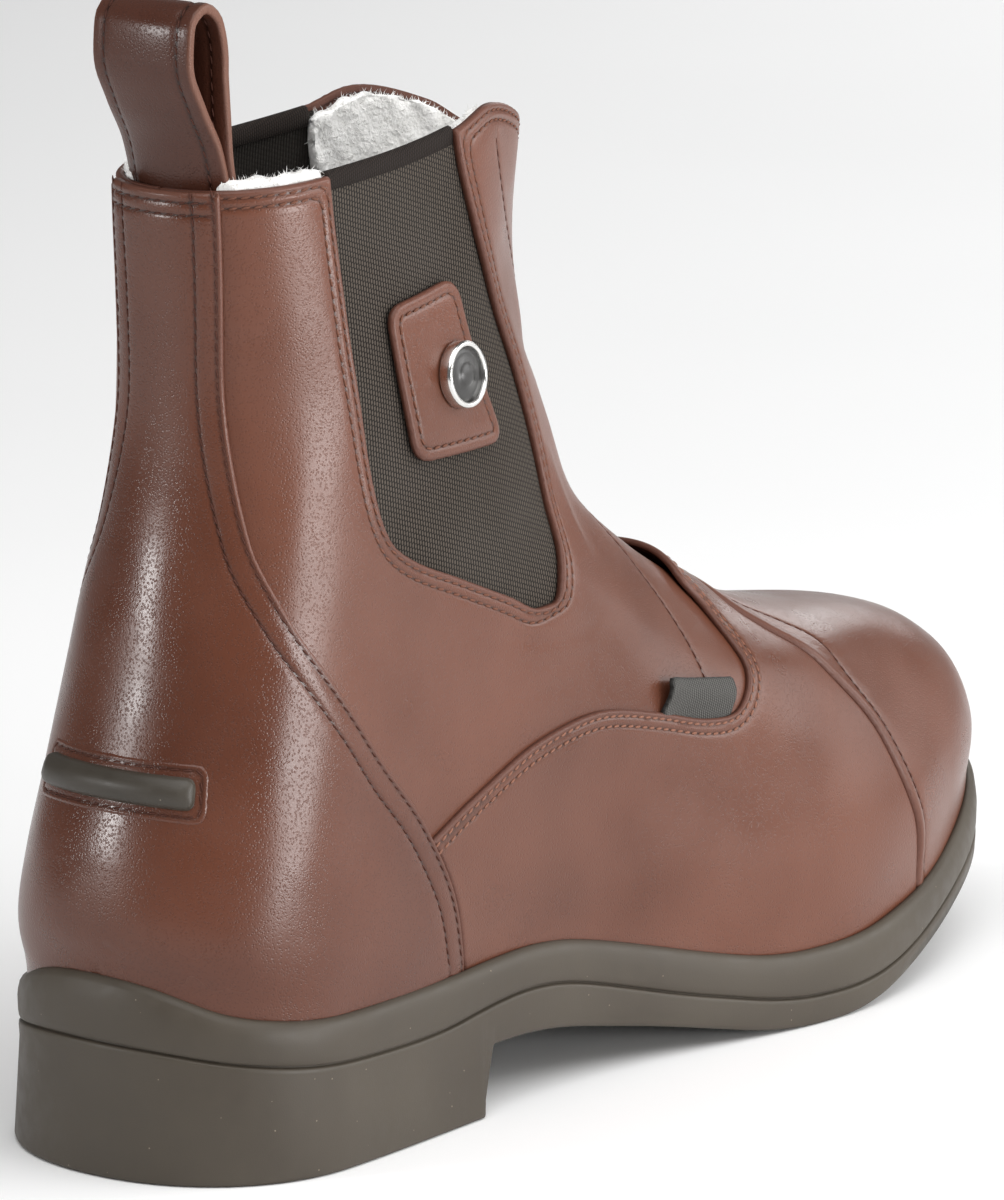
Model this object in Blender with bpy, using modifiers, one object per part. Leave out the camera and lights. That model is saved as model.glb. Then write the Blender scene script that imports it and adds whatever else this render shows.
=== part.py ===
"""Jodhpur boot: a right ankle boot with elastic side gores, a toe cap and a moulded unit sole.

Lengths below are millimetres along the boot: x from the back of the heel to the toe, z up from the
floor, y across, negative on the outer (lateral) side. The model itself is in metres, with its origin
under the middle of the sole.
"""
import math

import bmesh
import bpy
import numpy as np
from mathutils import Vector
from mathutils.geometry import delaunay_2d_cdt

MM = 0.001

# Driving sizes of the boot
SOLE_LENGTH = 288.0
SOLE_EDGE = 3.6
TOE_EDGE = 4.0
TOE_SWING = 3.0
SWING_START = 150.0
ROUNDING_POWER = 2.15
CLEARANCE = 0.3

# Leather layers, as depths under the outer skin of the upper
OVERLAY_TOP = 0.0
OVERLAY_THICK = 1.3
UPPER_TOP = -1.95
UPPER_THICK = 1.8
GORE_TOP = -4.1
GORE_THICK = 1.2
PATCH_TOP = -2.4
PATCH_THICK = 1.4
TAB_TOP = -0.6
TAB_THICK = 0.8
CAP_FOLD = 0.5

# Sections of the upper: rings from the feather line up to the collar. Each ring runs from a back point
# to a front point; its half widths are at the heel, waist, ball and toe stations, outer then inner side.
RING_COLUMNS = ("back_x", "back_z", "front_x", "front_z",
                "heel_out", "waist_out", "ball_out", "toe_out",
                "heel_in", "waist_in", "ball_in", "toe_in",
                "back_round", "front_round")
RINGS = np.array([
    [3.6, 42, 284, 39, 35.5, 34, 46.5, 43.5, 35.5, 27.5, 43, 40, 34, 92],
    [0.8, 52, 286, 51, 36, 36, 46.5, 43.5, 36, 30, 44, 40, 35, 92],
    [2.6, 64, 279, 63, 35.5, 36, 42, 38.5, 35.5, 32, 40, 35, 36, 94],
    [7, 78, 256, 74, 34.5, 36, 37, 33.5, 34.5, 34, 35, 31, 36, 94],
    [11.5, 93, 226, 79.5, 33.5, 35, 33.5, 30, 33.5, 34, 33, 29, 36, 90],
    [16, 110, 196, 89, 32, 34, 32, 28, 32, 34, 32, 28, 35, 80],
    [21.5, 130, 157, 112, 30.5, 33, 31, 27, 30.5, 33, 31, 27, 33, 62],
    [24, 153, 140, 137, 28.5, 31, 29, 25.5, 28.5, 31, 29, 25.5, 31, 47],
    [23.7, 176, 131, 167, 26.5, 28, 25.5, 21.5, 26.5, 28, 25.5, 21.5, 29, 38],
    [22.5, 199, 134, 199, 25, 25, 22, 18.5, 25, 25, 22, 18.5, 28, 32],
])
STATIONS = np.array([0.0, 0.14, 0.42, 0.68, 0.88, 1.0])
LAST_RING = len(RINGS) - 1
FEATHER_REACH = 4.0
FEATHER_FADE = 1.5
COLLAR_START = 6.0

# Sections of the sole along its length: heights of the tread, the groove, the feather line and the seat
SOLE_COLUMNS = ("x", "tread", "groove", "feather", "seat")
SOLE = np.array([
    [0, 0, 28, 42, 33],
    [12, 0, 25, 34.8, 32],
    [38, 0, 22, 32, 30],
    [66, 0, 21.3, 32, 29.5],
    [82, 0, 22.8, 32.5, 29.5],
    [86.5, 14.4, 23.6, 32.9, 29.5],
    [103, 14, 23.9, 33, 29.5],
    [123, 10.5, 19.8, 29.5, 26.5],
    [144, 6.5, 13.9, 24, 21],
    [165, 2, 9.1, 18.8, 16],
    [176, 0, 6.8, 17, 14],
    [197, 0, 6.2, 17, 14],
    [212, 3, 8, 18.8, 16],
    [230, 7.6, 12.1, 21.3, 18.5],
    [255, 14, 18.7, 28, 25],
    [288, 23, 27.5, 40, 36],
])
ROLL_INSET = 0.8
# Levels of the sole's side wall from the tread up: inset from the outline, the height it is measured
# from, and the rise above that height
SOLE_LEVELS = (
    (5.5, "tread", 0.0),
    (2.2, "tread", 0.7),
    (1.3, "tread", 2.4),
    (1.5, "groove", -0.8),
    (2.5, "groove", 0.0),
    (1.4, "groove", 0.8),
    (ROLL_INSET, "roll", 0.0),
    (1.7, "feather", -1.3),
    (3.4, "feather", -0.2),
    (8.2, "feather", -0.5),
    (9.2, "seat", 0.0),
)
BREAST_BOTTOM_X = 82.0
BREAST_TOP_X = 86.5
BALL_FLAT_START_X = 176.0
BALL_FLAT_STOP_X = 197.0
STATION_CLEAR = 3.0
HEEL_FLARE = 1.3
INSOLE_INSET = 9.8
INSOLE_THICK = 3.5

# Collar edge: rise above the plain top ring along the ring's length
COLLAR_SHARE = (0.0, 0.256, 0.64, 0.767, 0.92, 1.0)
COLLAR_RISE = (0.0, 0.0, 4.5, 7.6, 3.0, -4.0)

# Seams as side-view curves of (x, z)
BACKSTAY_EDGE = ((26.5, 203), (27.4, 178), (27.6, 157), (28.5, 128), (32.5, 113), (40, 100), (52, 82.6),
                 (66.6, 64), (75, 48), (81, 28))
VAMP_EDGE = ((68.8, 61.7), (82.8, 68.4), (103.7, 76), (122, 78.5), (141, 75), (158, 70.5), (166, 69.8),
             (172.8, 73.6), (177, 80.3), (177, 88.5), (172, 95.2))
VAMP_RIDGE_X = 169.0
TOE_RIDGE_X = 186.5
TOE_SEAM = ((190, 85.4), (194.6, 81.8), (200.6, 76.2), (208.8, 67.6), (215.4, 59), (221.5, 43.3),
            (226, 29), (227, 12))
GORE_WINDOW = ((49.5, 226), (50.2, 199), (52.4, 169), (54, 155), (57.6, 132), (60.8, 124.5), (67, 119.8),
               (82, 113.4), (98, 106.7), (107.5, 102.8), (113, 103), (117, 108.5), (120.4, 118),
               (120.6, 127), (118.6, 137), (114, 150), (106, 166), (98.2, 183), (94, 199), (92, 226))
GORE_PATCH = ((64.5, 171.5), (89, 174.6), (101, 138.8), (69.7, 139.2))
PATCH_CORNER = 5.0
TAB_OUTLINE = ((143, 81.6), (166.8, 77.4), (165.4, 71.6), (141.4, 76.6))
SEAM_GAP = 0.35
GORE_OVERLAP = 3.5
GORE_TOP_DROP = 0.02
GORE_TOP_STEPS = 7
GORE_CORNER = 0.15
RIDGE_STEPS = 5
FOOT_HEIGHT = 0.06

# Spur rest, wrapped round the back of the heel
SPUR_Z = 80.0
BACK_AT_SPUR = 7.6
SPUR_HEIGHT = 6.4
SPUR_HALF_SPAN = 0.0455
SPUR_THICK = 3.4
SURROUND_MARGIN_Z = 2.6
SURROUND_MARGIN_SPAN = 0.006
SURROUND_THICK = 0.9
SPUR_SOFT = 0.25
SPUR_LEAN = 0.006
SPUR_STEPS = 15

# Pull loop: side-view path of (x, z) from inside the collar, up, over and down, with its bow across
LOOP_WIDTH = 25.0
LOOP_THICK = 1.8
LOOP_PATH = ((28.5, 186), (27.7, 199), (26.4, 207), (22.6, 216), (19.4, 226), (20, 233), (24.2, 236.4),
             (28.6, 233), (30.2, 225), (29.8, 214), (29.4, 205), (30.1, 196), (30.6, 186))
LOOP_BOW = 4.2
LOOP_BOW_BELOW = 199.0
LOOP_FLAT_ABOVE = 222.0
LOOP_BOW_LEFT = 0.25
LOOP_STEP = 5.0
LOOP_ACROSS = 7

# Badge: a plain round button on the gore patch
BADGE_X = 85.5
BADGE_Z = 155.0
BADGE_PROFILE = ((0.0, 3.0), (3.6, 2.8), (4.6, 2.4), (5.0, 3.1), (6.3, 3.1), (7.0, 2.4), (7.0, 0.4),
                 (6.4, 0.0), (0.0, 0.0))
BADGE_STEPS = 28

# Mesh steps
ROUND_STEPS = 48
RING_STEPS = 20
SOLE_STEPS = 36
CHART_ROUND = 600.0
CHART_RISE = 21.0
CURVE_STEP = 7.0
CHART_STEP = 9.0
CHART_MARGIN = 2.4
CHART_MERGE = 1e-5
WELD = 1e-6
NORMAL_STEP = 1e-4
SEARCH_STEPS = 361
OUTLINE_STEPS = 400
CORNER_STEPS = 4
TOE_FOOT_STEPS = 10
VAMP_FOOT_STEPS = 12
HEEL_FOOT_STEPS = 9
CUTTER_REACH = 70.0
SHARP_DEGREES = 40.0

COLOURS = {
    "leather": ((0.165, 0.070, 0.048), 0.38, 0.0),
    "leather_dark": ((0.12, 0.048, 0.034), 0.38, 0.0),
    "rubber": ((0.095, 0.083, 0.066), 0.62, 0.0),
    "elastic": ((0.040, 0.033, 0.028), 0.85, 0.0),
    "tape": ((0.25, 0.24, 0.23), 0.85, 0.0),
    "metal": ((0.72, 0.71, 0.69), 0.22, 1.0),
    "insole": ((0.60, 0.57, 0.52), 0.9, 0.0),
}


def smooth_through(stations, values, at):
    """Monotone cubic through the given stations: no overshoot, and flat stretches stay flat."""
    x = np.asarray(stations, float)
    y = np.asarray(values, float)
    step = np.diff(x)
    slope = np.diff(y) / step
    tangent = np.zeros_like(y)
    rising = slope[:-1] * slope[1:] > 0
    first = 2 * step[1:] + step[:-1]
    second = step[1:] + 2 * step[:-1]
    with np.errstate(divide="ignore", invalid="ignore"):
        mean = (first + second) / (first / slope[:-1] + second / slope[1:])
    tangent[1:-1] = np.where(rising, mean, 0.0)
    tangent[0] = slope[0]
    tangent[-1] = slope[-1]
    at = np.clip(np.asarray(at, float), x[0], x[-1])
    i = np.clip(np.searchsorted(x, at) - 1, 0, len(x) - 2)
    u = (at - x[i]) / step[i]
    return ((1 + 2 * u) * (1 - u) ** 2 * y[i] + u * (1 - u) ** 2 * step[i] * tangent[i]
            + u * u * (3 - 2 * u) * y[i + 1] + u * u * (u - 1) * step[i] * tangent[i + 1])


def blend_rings(height):
    """Ring values at any height along the rows, by a Catmull-Rom curve through the rows."""
    height = np.clip(np.asarray(height, float), 0, LAST_RING)
    i = np.minimum(height.astype(int), LAST_RING - 1)
    f = (height - i)[..., None]
    here = RINGS[i]
    after = RINGS[i + 1]
    before = np.where((i == 0)[..., None], 2 * here - after, RINGS[np.maximum(i - 1, 0)])
    beyond = np.where((i == LAST_RING - 1)[..., None], 2 * after - here, RINGS[np.minimum(i + 2, LAST_RING)])
    rows = 0.5 * (2 * here + (after - before) * f
                  + (2 * before - 5 * here + 4 * after - beyond) * f ** 2
                  + (3 * here - before - 3 * after + beyond) * f ** 3)
    return {name: rows[..., k] for k, name in enumerate(RING_COLUMNS)}


def end_round(distance, length):
    """Share of the full width near a rounded end."""
    share = np.clip(distance / length, 0, 1)
    return (1 - (1 - share) ** ROUNDING_POWER) ** (1 / ROUNDING_POWER)


def swing(x):
    """The last's inward curve towards the toe."""
    return TOE_SWING * np.clip((x - SWING_START) / (SOLE_LENGTH - SWING_START), 0, None) ** 2


def sole_height(column, x):
    return smooth_through(SOLE[:, 0], SOLE[:, SOLE_COLUMNS.index(column)], x)


def half_width(row, share, inner, grow=0.0):
    """Half width of a ring at shares of its length, on the outer or the inner side."""
    lateral = [row[name] for name in ("heel_out", "heel_out", "waist_out", "ball_out", "toe_out", "toe_out")]
    medial = [row[name] for name in ("heel_in", "heel_in", "waist_in", "ball_in", "toe_in", "toe_in")]
    at = np.clip(share, 0, 1)
    i = np.clip(np.searchsorted(STATIONS, at, side="right") - 1, 0, len(STATIONS) - 2)
    widths = np.where(inner, station_curve(medial, at, i), station_curve(lateral, at, i))
    return widths + grow


def station_curve(values, at, i):
    """Cubic through the width stations, whose values may differ from point to point."""
    table = np.stack([np.broadcast_to(v, np.shape(at)) for v in values])
    gaps = np.diff(STATIONS)
    slopes = np.diff(table, axis=0) / gaps.reshape((-1,) + (1,) * np.ndim(at))
    tangents = np.zeros_like(table)
    for k in range(1, len(values) - 1):
        tangents[k] = (slopes[k - 1] * gaps[k] + slopes[k] * gaps[k - 1]) / (gaps[k - 1] + gaps[k])

    def pick(rows, index):
        return np.take_along_axis(rows, index[None], axis=0)[0]

    gap = gaps[i]
    u = (at - STATIONS[i]) / gap
    return ((1 + 2 * u) * (1 - u) ** 2 * pick(table, i) + u * (1 - u) ** 2 * gap * pick(tangents, i)
            + u * u * (3 - 2 * u) * pick(table, i + 1) + u * u * (u - 1) * gap * pick(tangents, i + 1))


def ring_heights(row, height, share):
    """Height of a ring's points: its tilt, the feather line low down and the collar edge at the top."""
    base = row["back_z"] + (row["front_z"] - row["back_z"]) * share
    lowest = RINGS[0, 1] + (RINGS[0, 3] - RINGS[0, 1]) * share
    feather = sole_height("feather", share * SOLE_LENGTH) - lowest
    feather = feather * np.clip(1 - height / FEATHER_REACH, 0, 1) ** FEATHER_FADE
    collar = smooth_through(COLLAR_SHARE, COLLAR_RISE, share)
    return base + feather + collar * np.clip((height - COLLAR_START) / (LAST_RING - COLLAR_START), 0, 1) ** 2


def skin(height, turn):
    """Outer skin of the upper. Turn runs 0 at the back, over the outer side to 0.5 at the front, to 1."""
    height = np.asarray(height, float)
    turn = np.asarray(turn, float) % 1.0
    row = blend_rings(height)
    share = (1 - np.cos(2 * math.pi * turn)) / 2
    inner = turn > 0.5
    length = row["front_x"] - row["back_x"]
    x = row["back_x"] + length * share
    width = half_width(row, share, inner)
    width = width * end_round(share * length, row["back_round"])
    width = width * end_round((1 - share) * length, row["front_round"])
    y = np.where(inner, width, -width) + swing(x)
    return np.stack([x, y, ring_heights(row, height, share)], axis=-1)


def skin_at(height, turn, depth):
    """The skin moved along its outward normal by a depth (negative is inward)."""
    height = np.clip(np.asarray(height, float), 0, LAST_RING)
    turn = np.asarray(turn, float)
    small = NORMAL_STEP
    around = skin(height, turn + small) - skin(height, turn - small)
    up = skin(np.clip(height + small, 0, LAST_RING), turn) - skin(np.clip(height - small, 0, LAST_RING), turn)
    normal = np.cross(around, up)
    normal /= np.linalg.norm(normal, axis=-1, keepdims=True)
    depth = np.reshape(depth, np.shape(depth) + (1,) * (normal.ndim - np.ndim(depth)))
    return skin(height, turn) + normal * depth


def locate(x, z, inner=False):
    """Ring height and turn of the skin's point seen at (x, z) from the side."""
    heights = np.linspace(0, LAST_RING, SEARCH_STEPS)
    row = blend_rings(heights)
    share = np.clip((x - row["back_x"]) / (row["front_x"] - row["back_x"]), 0, 1)
    level = ring_heights(row, heights, share)
    level = np.maximum.accumulate(level + 1e-6 * heights)
    height = float(np.interp(z, level, heights))
    at = float(np.interp(height, heights, share))
    turn = math.acos(1 - 2 * at) / (2 * math.pi)
    return height, (1 - turn if inner else turn)


def dense_curve(points, step=CURVE_STEP):
    """A smooth curve through side-view points, as closely spaced points."""
    points = np.asarray(points, float)
    along = np.concatenate([[0], np.cumsum(np.linalg.norm(np.diff(points, axis=0), axis=1))])
    count = max(2, int(round(along[-1] / step)) + 1)
    at = np.linspace(0, along[-1], count)
    return np.stack([smooth_through(along, points[:, k], at) for k in range(2)], axis=-1)


def rounded_outline(points, radius, steps=CORNER_STEPS):
    """A closed outline with its corners rounded off."""
    points = [np.asarray(p, float) for p in points]
    result = []
    for k, corner in enumerate(points):
        before = points[k - 1] - corner
        after = points[(k + 1) % len(points)] - corner
        start = corner + before / np.linalg.norm(before) * radius
        stop = corner + after / np.linalg.norm(after) * radius
        for u in np.linspace(0, 1, steps):
            result.append((1 - u) ** 2 * start + 2 * u * (1 - u) * corner + u * u * stop)
    return np.array(result)


def sole_stations(steps):
    """Places along the sole, closer at its ends, with the edges of its flats among them."""
    fixed = (BREAST_BOTTOM_X, BREAST_TOP_X, BALL_FLAT_START_X, BALL_FLAT_STOP_X)
    plain = SOLE_LENGTH * (1 - np.cos(np.linspace(0, math.pi, steps))) / 2
    away = np.abs(plain[:, None] - fixed).min(axis=1)
    return np.sort(np.concatenate([plain[away > STATION_CLEAR], fixed]))


def sole_outline(inset, steps, flare=0.0):
    """Plan outline of the sole with an inset, and the plain x of each station; outer side first."""
    row = {name: np.array(value) for name, value in zip(RING_COLUMNS, RINGS[0])}
    plain = sole_stations(steps)
    share = plain / SOLE_LENGTH
    inset = inset - flare * (plain <= BREAST_BOTTOM_X)
    x = inset + (SOLE_LENGTH - 2 * inset) * share
    length = SOLE_LENGTH - 2 * inset
    sides = []
    for inner in (False, True):
        width = half_width(row, share, np.full(share.shape, inner), SOLE_EDGE - inset)
        width = width * end_round(share * length, RINGS[0, -2] + SOLE_EDGE - inset)
        width = width * end_round((1 - share) * length, RINGS[0, -1] + TOE_EDGE - inset)
        sides.append(np.stack([x, (width if inner else -width) + swing(x)], axis=-1))
    return plain, sides[0], sides[1]


_, OUTER_EDGE, INNER_EDGE = sole_outline(0.0, OUTLINE_STEPS)
MIDDLE_Y = (OUTER_EDGE[:, 1].min() + INNER_EDGE[:, 1].max()) / 2
ORIGIN = np.array([(SOLE_LENGTH - ROLL_INSET) / 2, MIDDLE_Y, 0.0])


def placed(points):
    """Millimetres in the boot's own layout to metres in the model."""
    return (np.asarray(points, float) - ORIGIN) * MM


def clear_scene():
    for item in list(bpy.data.objects):
        bpy.data.objects.remove(item, do_unlink=True)


def collection(name):
    made = bpy.data.collections.new(name)
    bpy.context.scene.collection.children.link(made)
    return made


def material(name):
    colour, roughness, metallic = COLOURS[name]
    made = bpy.data.materials.get(name)
    if made is None:
        made = bpy.data.materials.new(name)
        made.use_nodes = True
        shader = made.node_tree.nodes["Principled BSDF"]
        shader.inputs["Base Color"].default_value = (*colour, 1.0)
        shader.inputs["Roughness"].default_value = roughness
        shader.inputs["Metallic"].default_value = metallic
    return made


def add_object(name, verts, faces, finish, group):
    """A named object from placed points and faces, shaded smooth, with its finish."""
    mesh = bpy.data.meshes.new(name)
    mesh.from_pydata([tuple(v) for v in verts], [], [tuple(f) for f in faces])
    mesh.validate()
    mesh.shade_smooth()
    made = bpy.data.objects.new(name, mesh)
    made.data.materials.append(material(finish))
    group.objects.link(made)
    return made


def thicken(item, thickness, outward):
    """A wall: Solidify outward or inward from the open surface."""
    wall = item.modifiers.new("wall", "SOLIDIFY")
    wall.thickness = thickness * MM
    wall.offset = 1.0 if outward else -1.0
    wall.use_rim = True
    return wall


def recalculate_outward(item):
    work = bmesh.new()
    work.from_mesh(item.data)
    bmesh.ops.recalc_face_normals(work, faces=work.faces)
    work.to_mesh(item.data)
    work.free()


def loft_faces(rings, points_round):
    """Quads between successive closed loops."""
    faces = []
    for i in range(rings - 1):
        for j in range(points_round):
            k = (j + 1) % points_round
            low = i * points_round
            faces.append((low + j, low + k, low + points_round + k, low + points_round + j))
    return faces


def ladder_cap(first, per_side):
    """Faces closing a loop made of an outer run and the inner run back, station by station."""
    total = 2 * per_side - 2
    faces = []
    for k in range(per_side - 1):
        near = first + k
        far = first + k + 1
        near_inner = first + (total - k) % total
        far_inner = first + total - k - 1
        corners = [near, far, far_inner, near_inner]
        faces.append([c for n, c in enumerate(corners) if c not in corners[:n]])
    return faces


def side_loop(outer, inner, heights):
    """One closed loop: the outer run heel to toe, then the inner run back, sharing both end points."""
    run = np.column_stack([outer, heights])
    back = np.column_stack([inner, heights])[-2:0:-1]
    return np.concatenate([run, back])


def make_outsole(group):
    """The moulded unit sole: heel block, arch, toe spring, groove, roll and the cup the upper sits in."""
    loops = []
    for inset, base, rise in SOLE_LEVELS:
        plain, outer, inner = sole_outline(inset, SOLE_STEPS, HEEL_FLARE if base == "tread" else 0.0)
        if base == "roll":
            heights = (sole_height("groove", plain) + sole_height("feather", plain)) / 2
        else:
            heights = sole_height(base, plain)
        loops.append(side_loop(outer, inner, heights + rise))
    count = len(loops[0])
    faces = loft_faces(len(loops), count)
    faces += [face[::-1] for face in ladder_cap(0, len(plain))]
    faces += ladder_cap((len(loops) - 1) * count, len(plain))
    item = add_object("outsole", placed(np.concatenate(loops)), faces, "rubber", group)
    recalculate_outward(item)
    item.data.set_sharp_from_angle(angle=math.radians(SHARP_DEGREES))
    return item


def make_insole(group):
    """The removable insole, lying in the cup of the sole."""
    loops = []
    for inset, rise in ((INSOLE_INSET, CLEARANCE), (INSOLE_INSET, CLEARANCE + INSOLE_THICK)):
        plain, outer, inner = sole_outline(inset, SOLE_STEPS)
        loops.append(side_loop(outer, inner, sole_height("seat", plain) + rise))
    count = len(loops[0])
    faces = loft_faces(len(loops), count)
    faces += [face[::-1] for face in ladder_cap(0, len(plain))]
    faces += ladder_cap(count, len(plain))
    item = add_object("insole", placed(np.concatenate(loops)), faces, "insole", group)
    recalculate_outward(item)
    item.data.set_sharp_from_angle(angle=math.radians(SHARP_DEGREES))
    return item


def lattice_heights():
    return np.linspace(0, LAST_RING, RING_STEPS + 1)


def lattice_turns():
    return np.arange(ROUND_STEPS) / ROUND_STEPS


def make_cutter(name, outline, near_y, far_y, group):
    """A prism across the boot from a side-view outline, used to cut the gore windows."""
    curve = bpy.data.curves.new(name, "CURVE")
    curve.dimensions = "2D"
    curve.fill_mode = "BOTH"
    spline = curve.splines.new("POLY")
    spline.points.add(len(outline) - 1)
    for point, (x, z) in zip(spline.points, outline):
        point.co = ((x - ORIGIN[0]) * MM, z * MM, 0.0, 1.0)
    spline.use_cyclic_u = True
    curve.extrude = abs(far_y - near_y) / 2 * MM
    flat = bpy.data.objects.new(name + "_outline", curve)
    group.objects.link(flat)
    flat.location = (0.0, ((near_y + far_y) / 2 - ORIGIN[1]) * MM, 0.0)
    flat.rotation_euler = (math.radians(90), 0.0, 0.0)
    bpy.context.view_layer.update()
    mesh = bpy.data.meshes.new_from_object(flat.evaluated_get(bpy.context.evaluated_depsgraph_get()))
    cutter = bpy.data.objects.new(name, mesh)
    cutter.matrix_world = flat.matrix_world
    bpy.data.objects.remove(flat, do_unlink=True)
    work = bmesh.new()
    work.from_mesh(mesh)
    bmesh.ops.remove_doubles(work, verts=work.verts, dist=WELD)
    bmesh.ops.recalc_face_normals(work, faces=work.faces)
    work.to_mesh(mesh)
    work.free()
    cutter.hide_render = True
    cutter.display_type = "WIRE"
    group.objects.link(cutter)
    return cutter


def make_upper(group, cutters):
    """One hollow wall on the last, open at the collar and underneath, with a window for each gore."""
    heights, turns = np.meshgrid(lattice_heights(), lattice_turns(), indexing="ij")
    points = skin_at(heights, turns, UPPER_TOP)
    faces = loft_faces(RING_STEPS + 1, ROUND_STEPS)
    item = add_object("upper", placed(points.reshape(-1, 3)), faces, "leather", group)
    thicken(item, UPPER_THICK, outward=False)
    outline = dense_curve(GORE_WINDOW)
    for name, near_y, far_y in (("gore_window_lateral", -CUTTER_REACH, 0.0),
                                ("gore_window_medial", 0.0, CUTTER_REACH)):
        cut = item.modifiers.new(name, "BOOLEAN")
        cut.operation = "DIFFERENCE"
        cut.object = make_cutter(name, outline, near_y, far_y, cutters)
    return item


def chart(height, turn):
    return np.array([turn * CHART_ROUND, height * CHART_RISE])


def inside(outline, point):
    """Even-odd test of a chart point against a closed outline."""
    x, y = point
    result = False
    for (x1, y1), (x2, y2) in zip(outline, np.roll(outline, -1, axis=0)):
        if (y1 > y) != (y2 > y) and x < (x2 - x1) * (y - y1) / (y2 - y1) + x1:
            result = not result
    return result


def distance_to(outline, point):
    start = np.asarray(outline)
    run = np.roll(start, -1, axis=0) - start
    share = np.clip(((point - start) * run).sum(1) / np.maximum((run * run).sum(1), 1e-12), 0, 1)
    return np.linalg.norm(start + run * share[:, None] - point, axis=1).min()


def shrink(outline, gap):
    """The closed chart outline moved inward by a gap."""
    outline = np.asarray(outline)
    run = np.roll(outline, -1, axis=0) - np.roll(outline, 1, axis=0)
    inward = np.column_stack([-run[:, 1], run[:, 0]])
    inward /= np.maximum(np.linalg.norm(inward, axis=1, keepdims=True), 1e-9)
    after = np.roll(outline, -1, axis=0)
    twice_area = (outline[:, 0] * after[:, 1] - after[:, 0] * outline[:, 1]).sum()
    return outline + inward * gap * math.copysign(1.0, twice_area)


def subdivide(outline):
    """The closed chart outline with its long edges split, so that they follow the skin."""
    result = []
    for start, stop in zip(outline, np.roll(outline, -1, axis=0)):
        count = max(1, math.ceil(np.linalg.norm(stop - start) / CHART_STEP))
        result += [start + (stop - start) * k / count for k in range(count)]
    return np.array(result)


def make_panel(name, spots, top, thick, finish, group, gap=0.0, lattice=1):
    """A panel of the upper's own skin inside an outline of (ring height, turn) spots, as a thick wall."""
    outline = shrink(subdivide(np.array([chart(*spot) for spot in spots])), gap)
    low, high = outline.min(axis=0), outline.max(axis=0)
    points = list(outline)
    turn_count = ROUND_STEPS * lattice
    for height in np.linspace(0, LAST_RING, RING_STEPS * lattice + 1):
        for turn in np.arange(-turn_count, turn_count + 1) / turn_count:
            spot = chart(height, turn)
            if (spot > low).all() and (spot < high).all() and inside(outline, spot):
                if distance_to(outline, spot) > CHART_MARGIN / lattice:
                    points.append(spot)
    edges = [(k, (k + 1) % len(outline)) for k in range(len(outline))]
    flat = delaunay_2d_cdt([Vector(p) for p in points], edges, [], 1, CHART_MERGE)
    spots = np.array([tuple(v) for v in flat[0]])
    solid = skin_at(spots[:, 1] / CHART_RISE, spots[:, 0] / CHART_ROUND, top - thick)
    item = add_object(name, placed(solid), flat[2], finish, group)
    thicken(item, thick, outward=True)
    return item


def side_spots(points, inner=False, step=CURVE_STEP):
    """Skin spots along a side-view curve."""
    return [locate(x, z, inner) for x, z in dense_curve(points, step)]


def feather_run(start_turn, stop_turn, count):
    """Skin spots along the feather line, just above the sole."""
    return [(FOOT_HEIGHT, turn) for turn in np.linspace(start_turn, stop_turn, count)]


def mirrored(spots):
    """The same spots on the other side, back to front."""
    return [(height, 1 - turn) for height, turn in reversed(spots)]


def over_ridge(start, ridge_x):
    """Skin spots from a side-view point up to the front ridge."""
    low = locate(*start)[0]
    top = ridge_height(ridge_x)
    spots = []
    for u in np.linspace(0, 1, RIDGE_STEPS + 1)[1:]:
        height = low + (top - low) * u
        row = blend_rings(np.array(height))
        x = start[0] + (ridge_x - start[0]) * u
        share = np.clip((x - row["back_x"]) / (row["front_x"] - row["back_x"]), 0, 1)
        spots.append((height, math.acos(1 - 2 * share) / (2 * math.pi)))
    return spots


def toe_seam_spots():
    """The toe seam from the ridge down the outer side to the sole."""
    side = [spot for spot in side_spots(TOE_SEAM) if spot[0] > FOOT_HEIGHT]
    return over_ridge(TOE_SEAM[0], TOE_RIDGE_X)[::-1] + side


def make_toe_cap(group):
    """The toe cap, in front of its seam, folded at its edge so it stands a little proud of the vamp."""
    run = toe_seam_spots() + feather_run(locate(*TOE_SEAM[-1])[1], 0.5, TOE_FOOT_STEPS)[:-1]
    spots = run + [(FOOT_HEIGHT, 0.5)] + mirrored(run[1:])
    return make_panel("toe_cap", spots, OVERLAY_TOP + CAP_FOLD, OVERLAY_THICK + CAP_FOLD,
                      "leather", group, SEAM_GAP)


def make_vamp(group):
    """The vamp, from the backstay to the toe seam, over the instep and down both sides."""
    edge = side_spots(VAMP_EDGE)
    seam = toe_seam_spots()
    stay = [spot for spot in side_spots(BACKSTAY_EDGE) if FOOT_HEIGHT < spot[0] < locate(*VAMP_EDGE[0])[0]]
    heel_turn = locate(*BACKSTAY_EDGE[-1])[1]
    lower = feather_run(locate(*TOE_SEAM[-1])[1], heel_turn, VAMP_FOOT_STEPS)
    crown = over_ridge(VAMP_EDGE[-1], VAMP_RIDGE_X)
    lateral = seam + lower + stay[::-1] + edge + crown
    spots = lateral + mirrored(lateral[1:-1])
    return make_panel("vamp", spots, OVERLAY_TOP, OVERLAY_THICK, "leather", group, SEAM_GAP)


def ridge_height(x):
    """Ring height at which the front ridge of the skin stands at x."""
    heights = np.linspace(0, LAST_RING, SEARCH_STEPS)
    front = blend_rings(heights)["front_x"]
    peak = front.argmax()
    low = front[peak:].argmin() + peak
    return float(np.interp(-x, -front[peak:low + 1], heights[peak:low + 1]))


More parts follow.
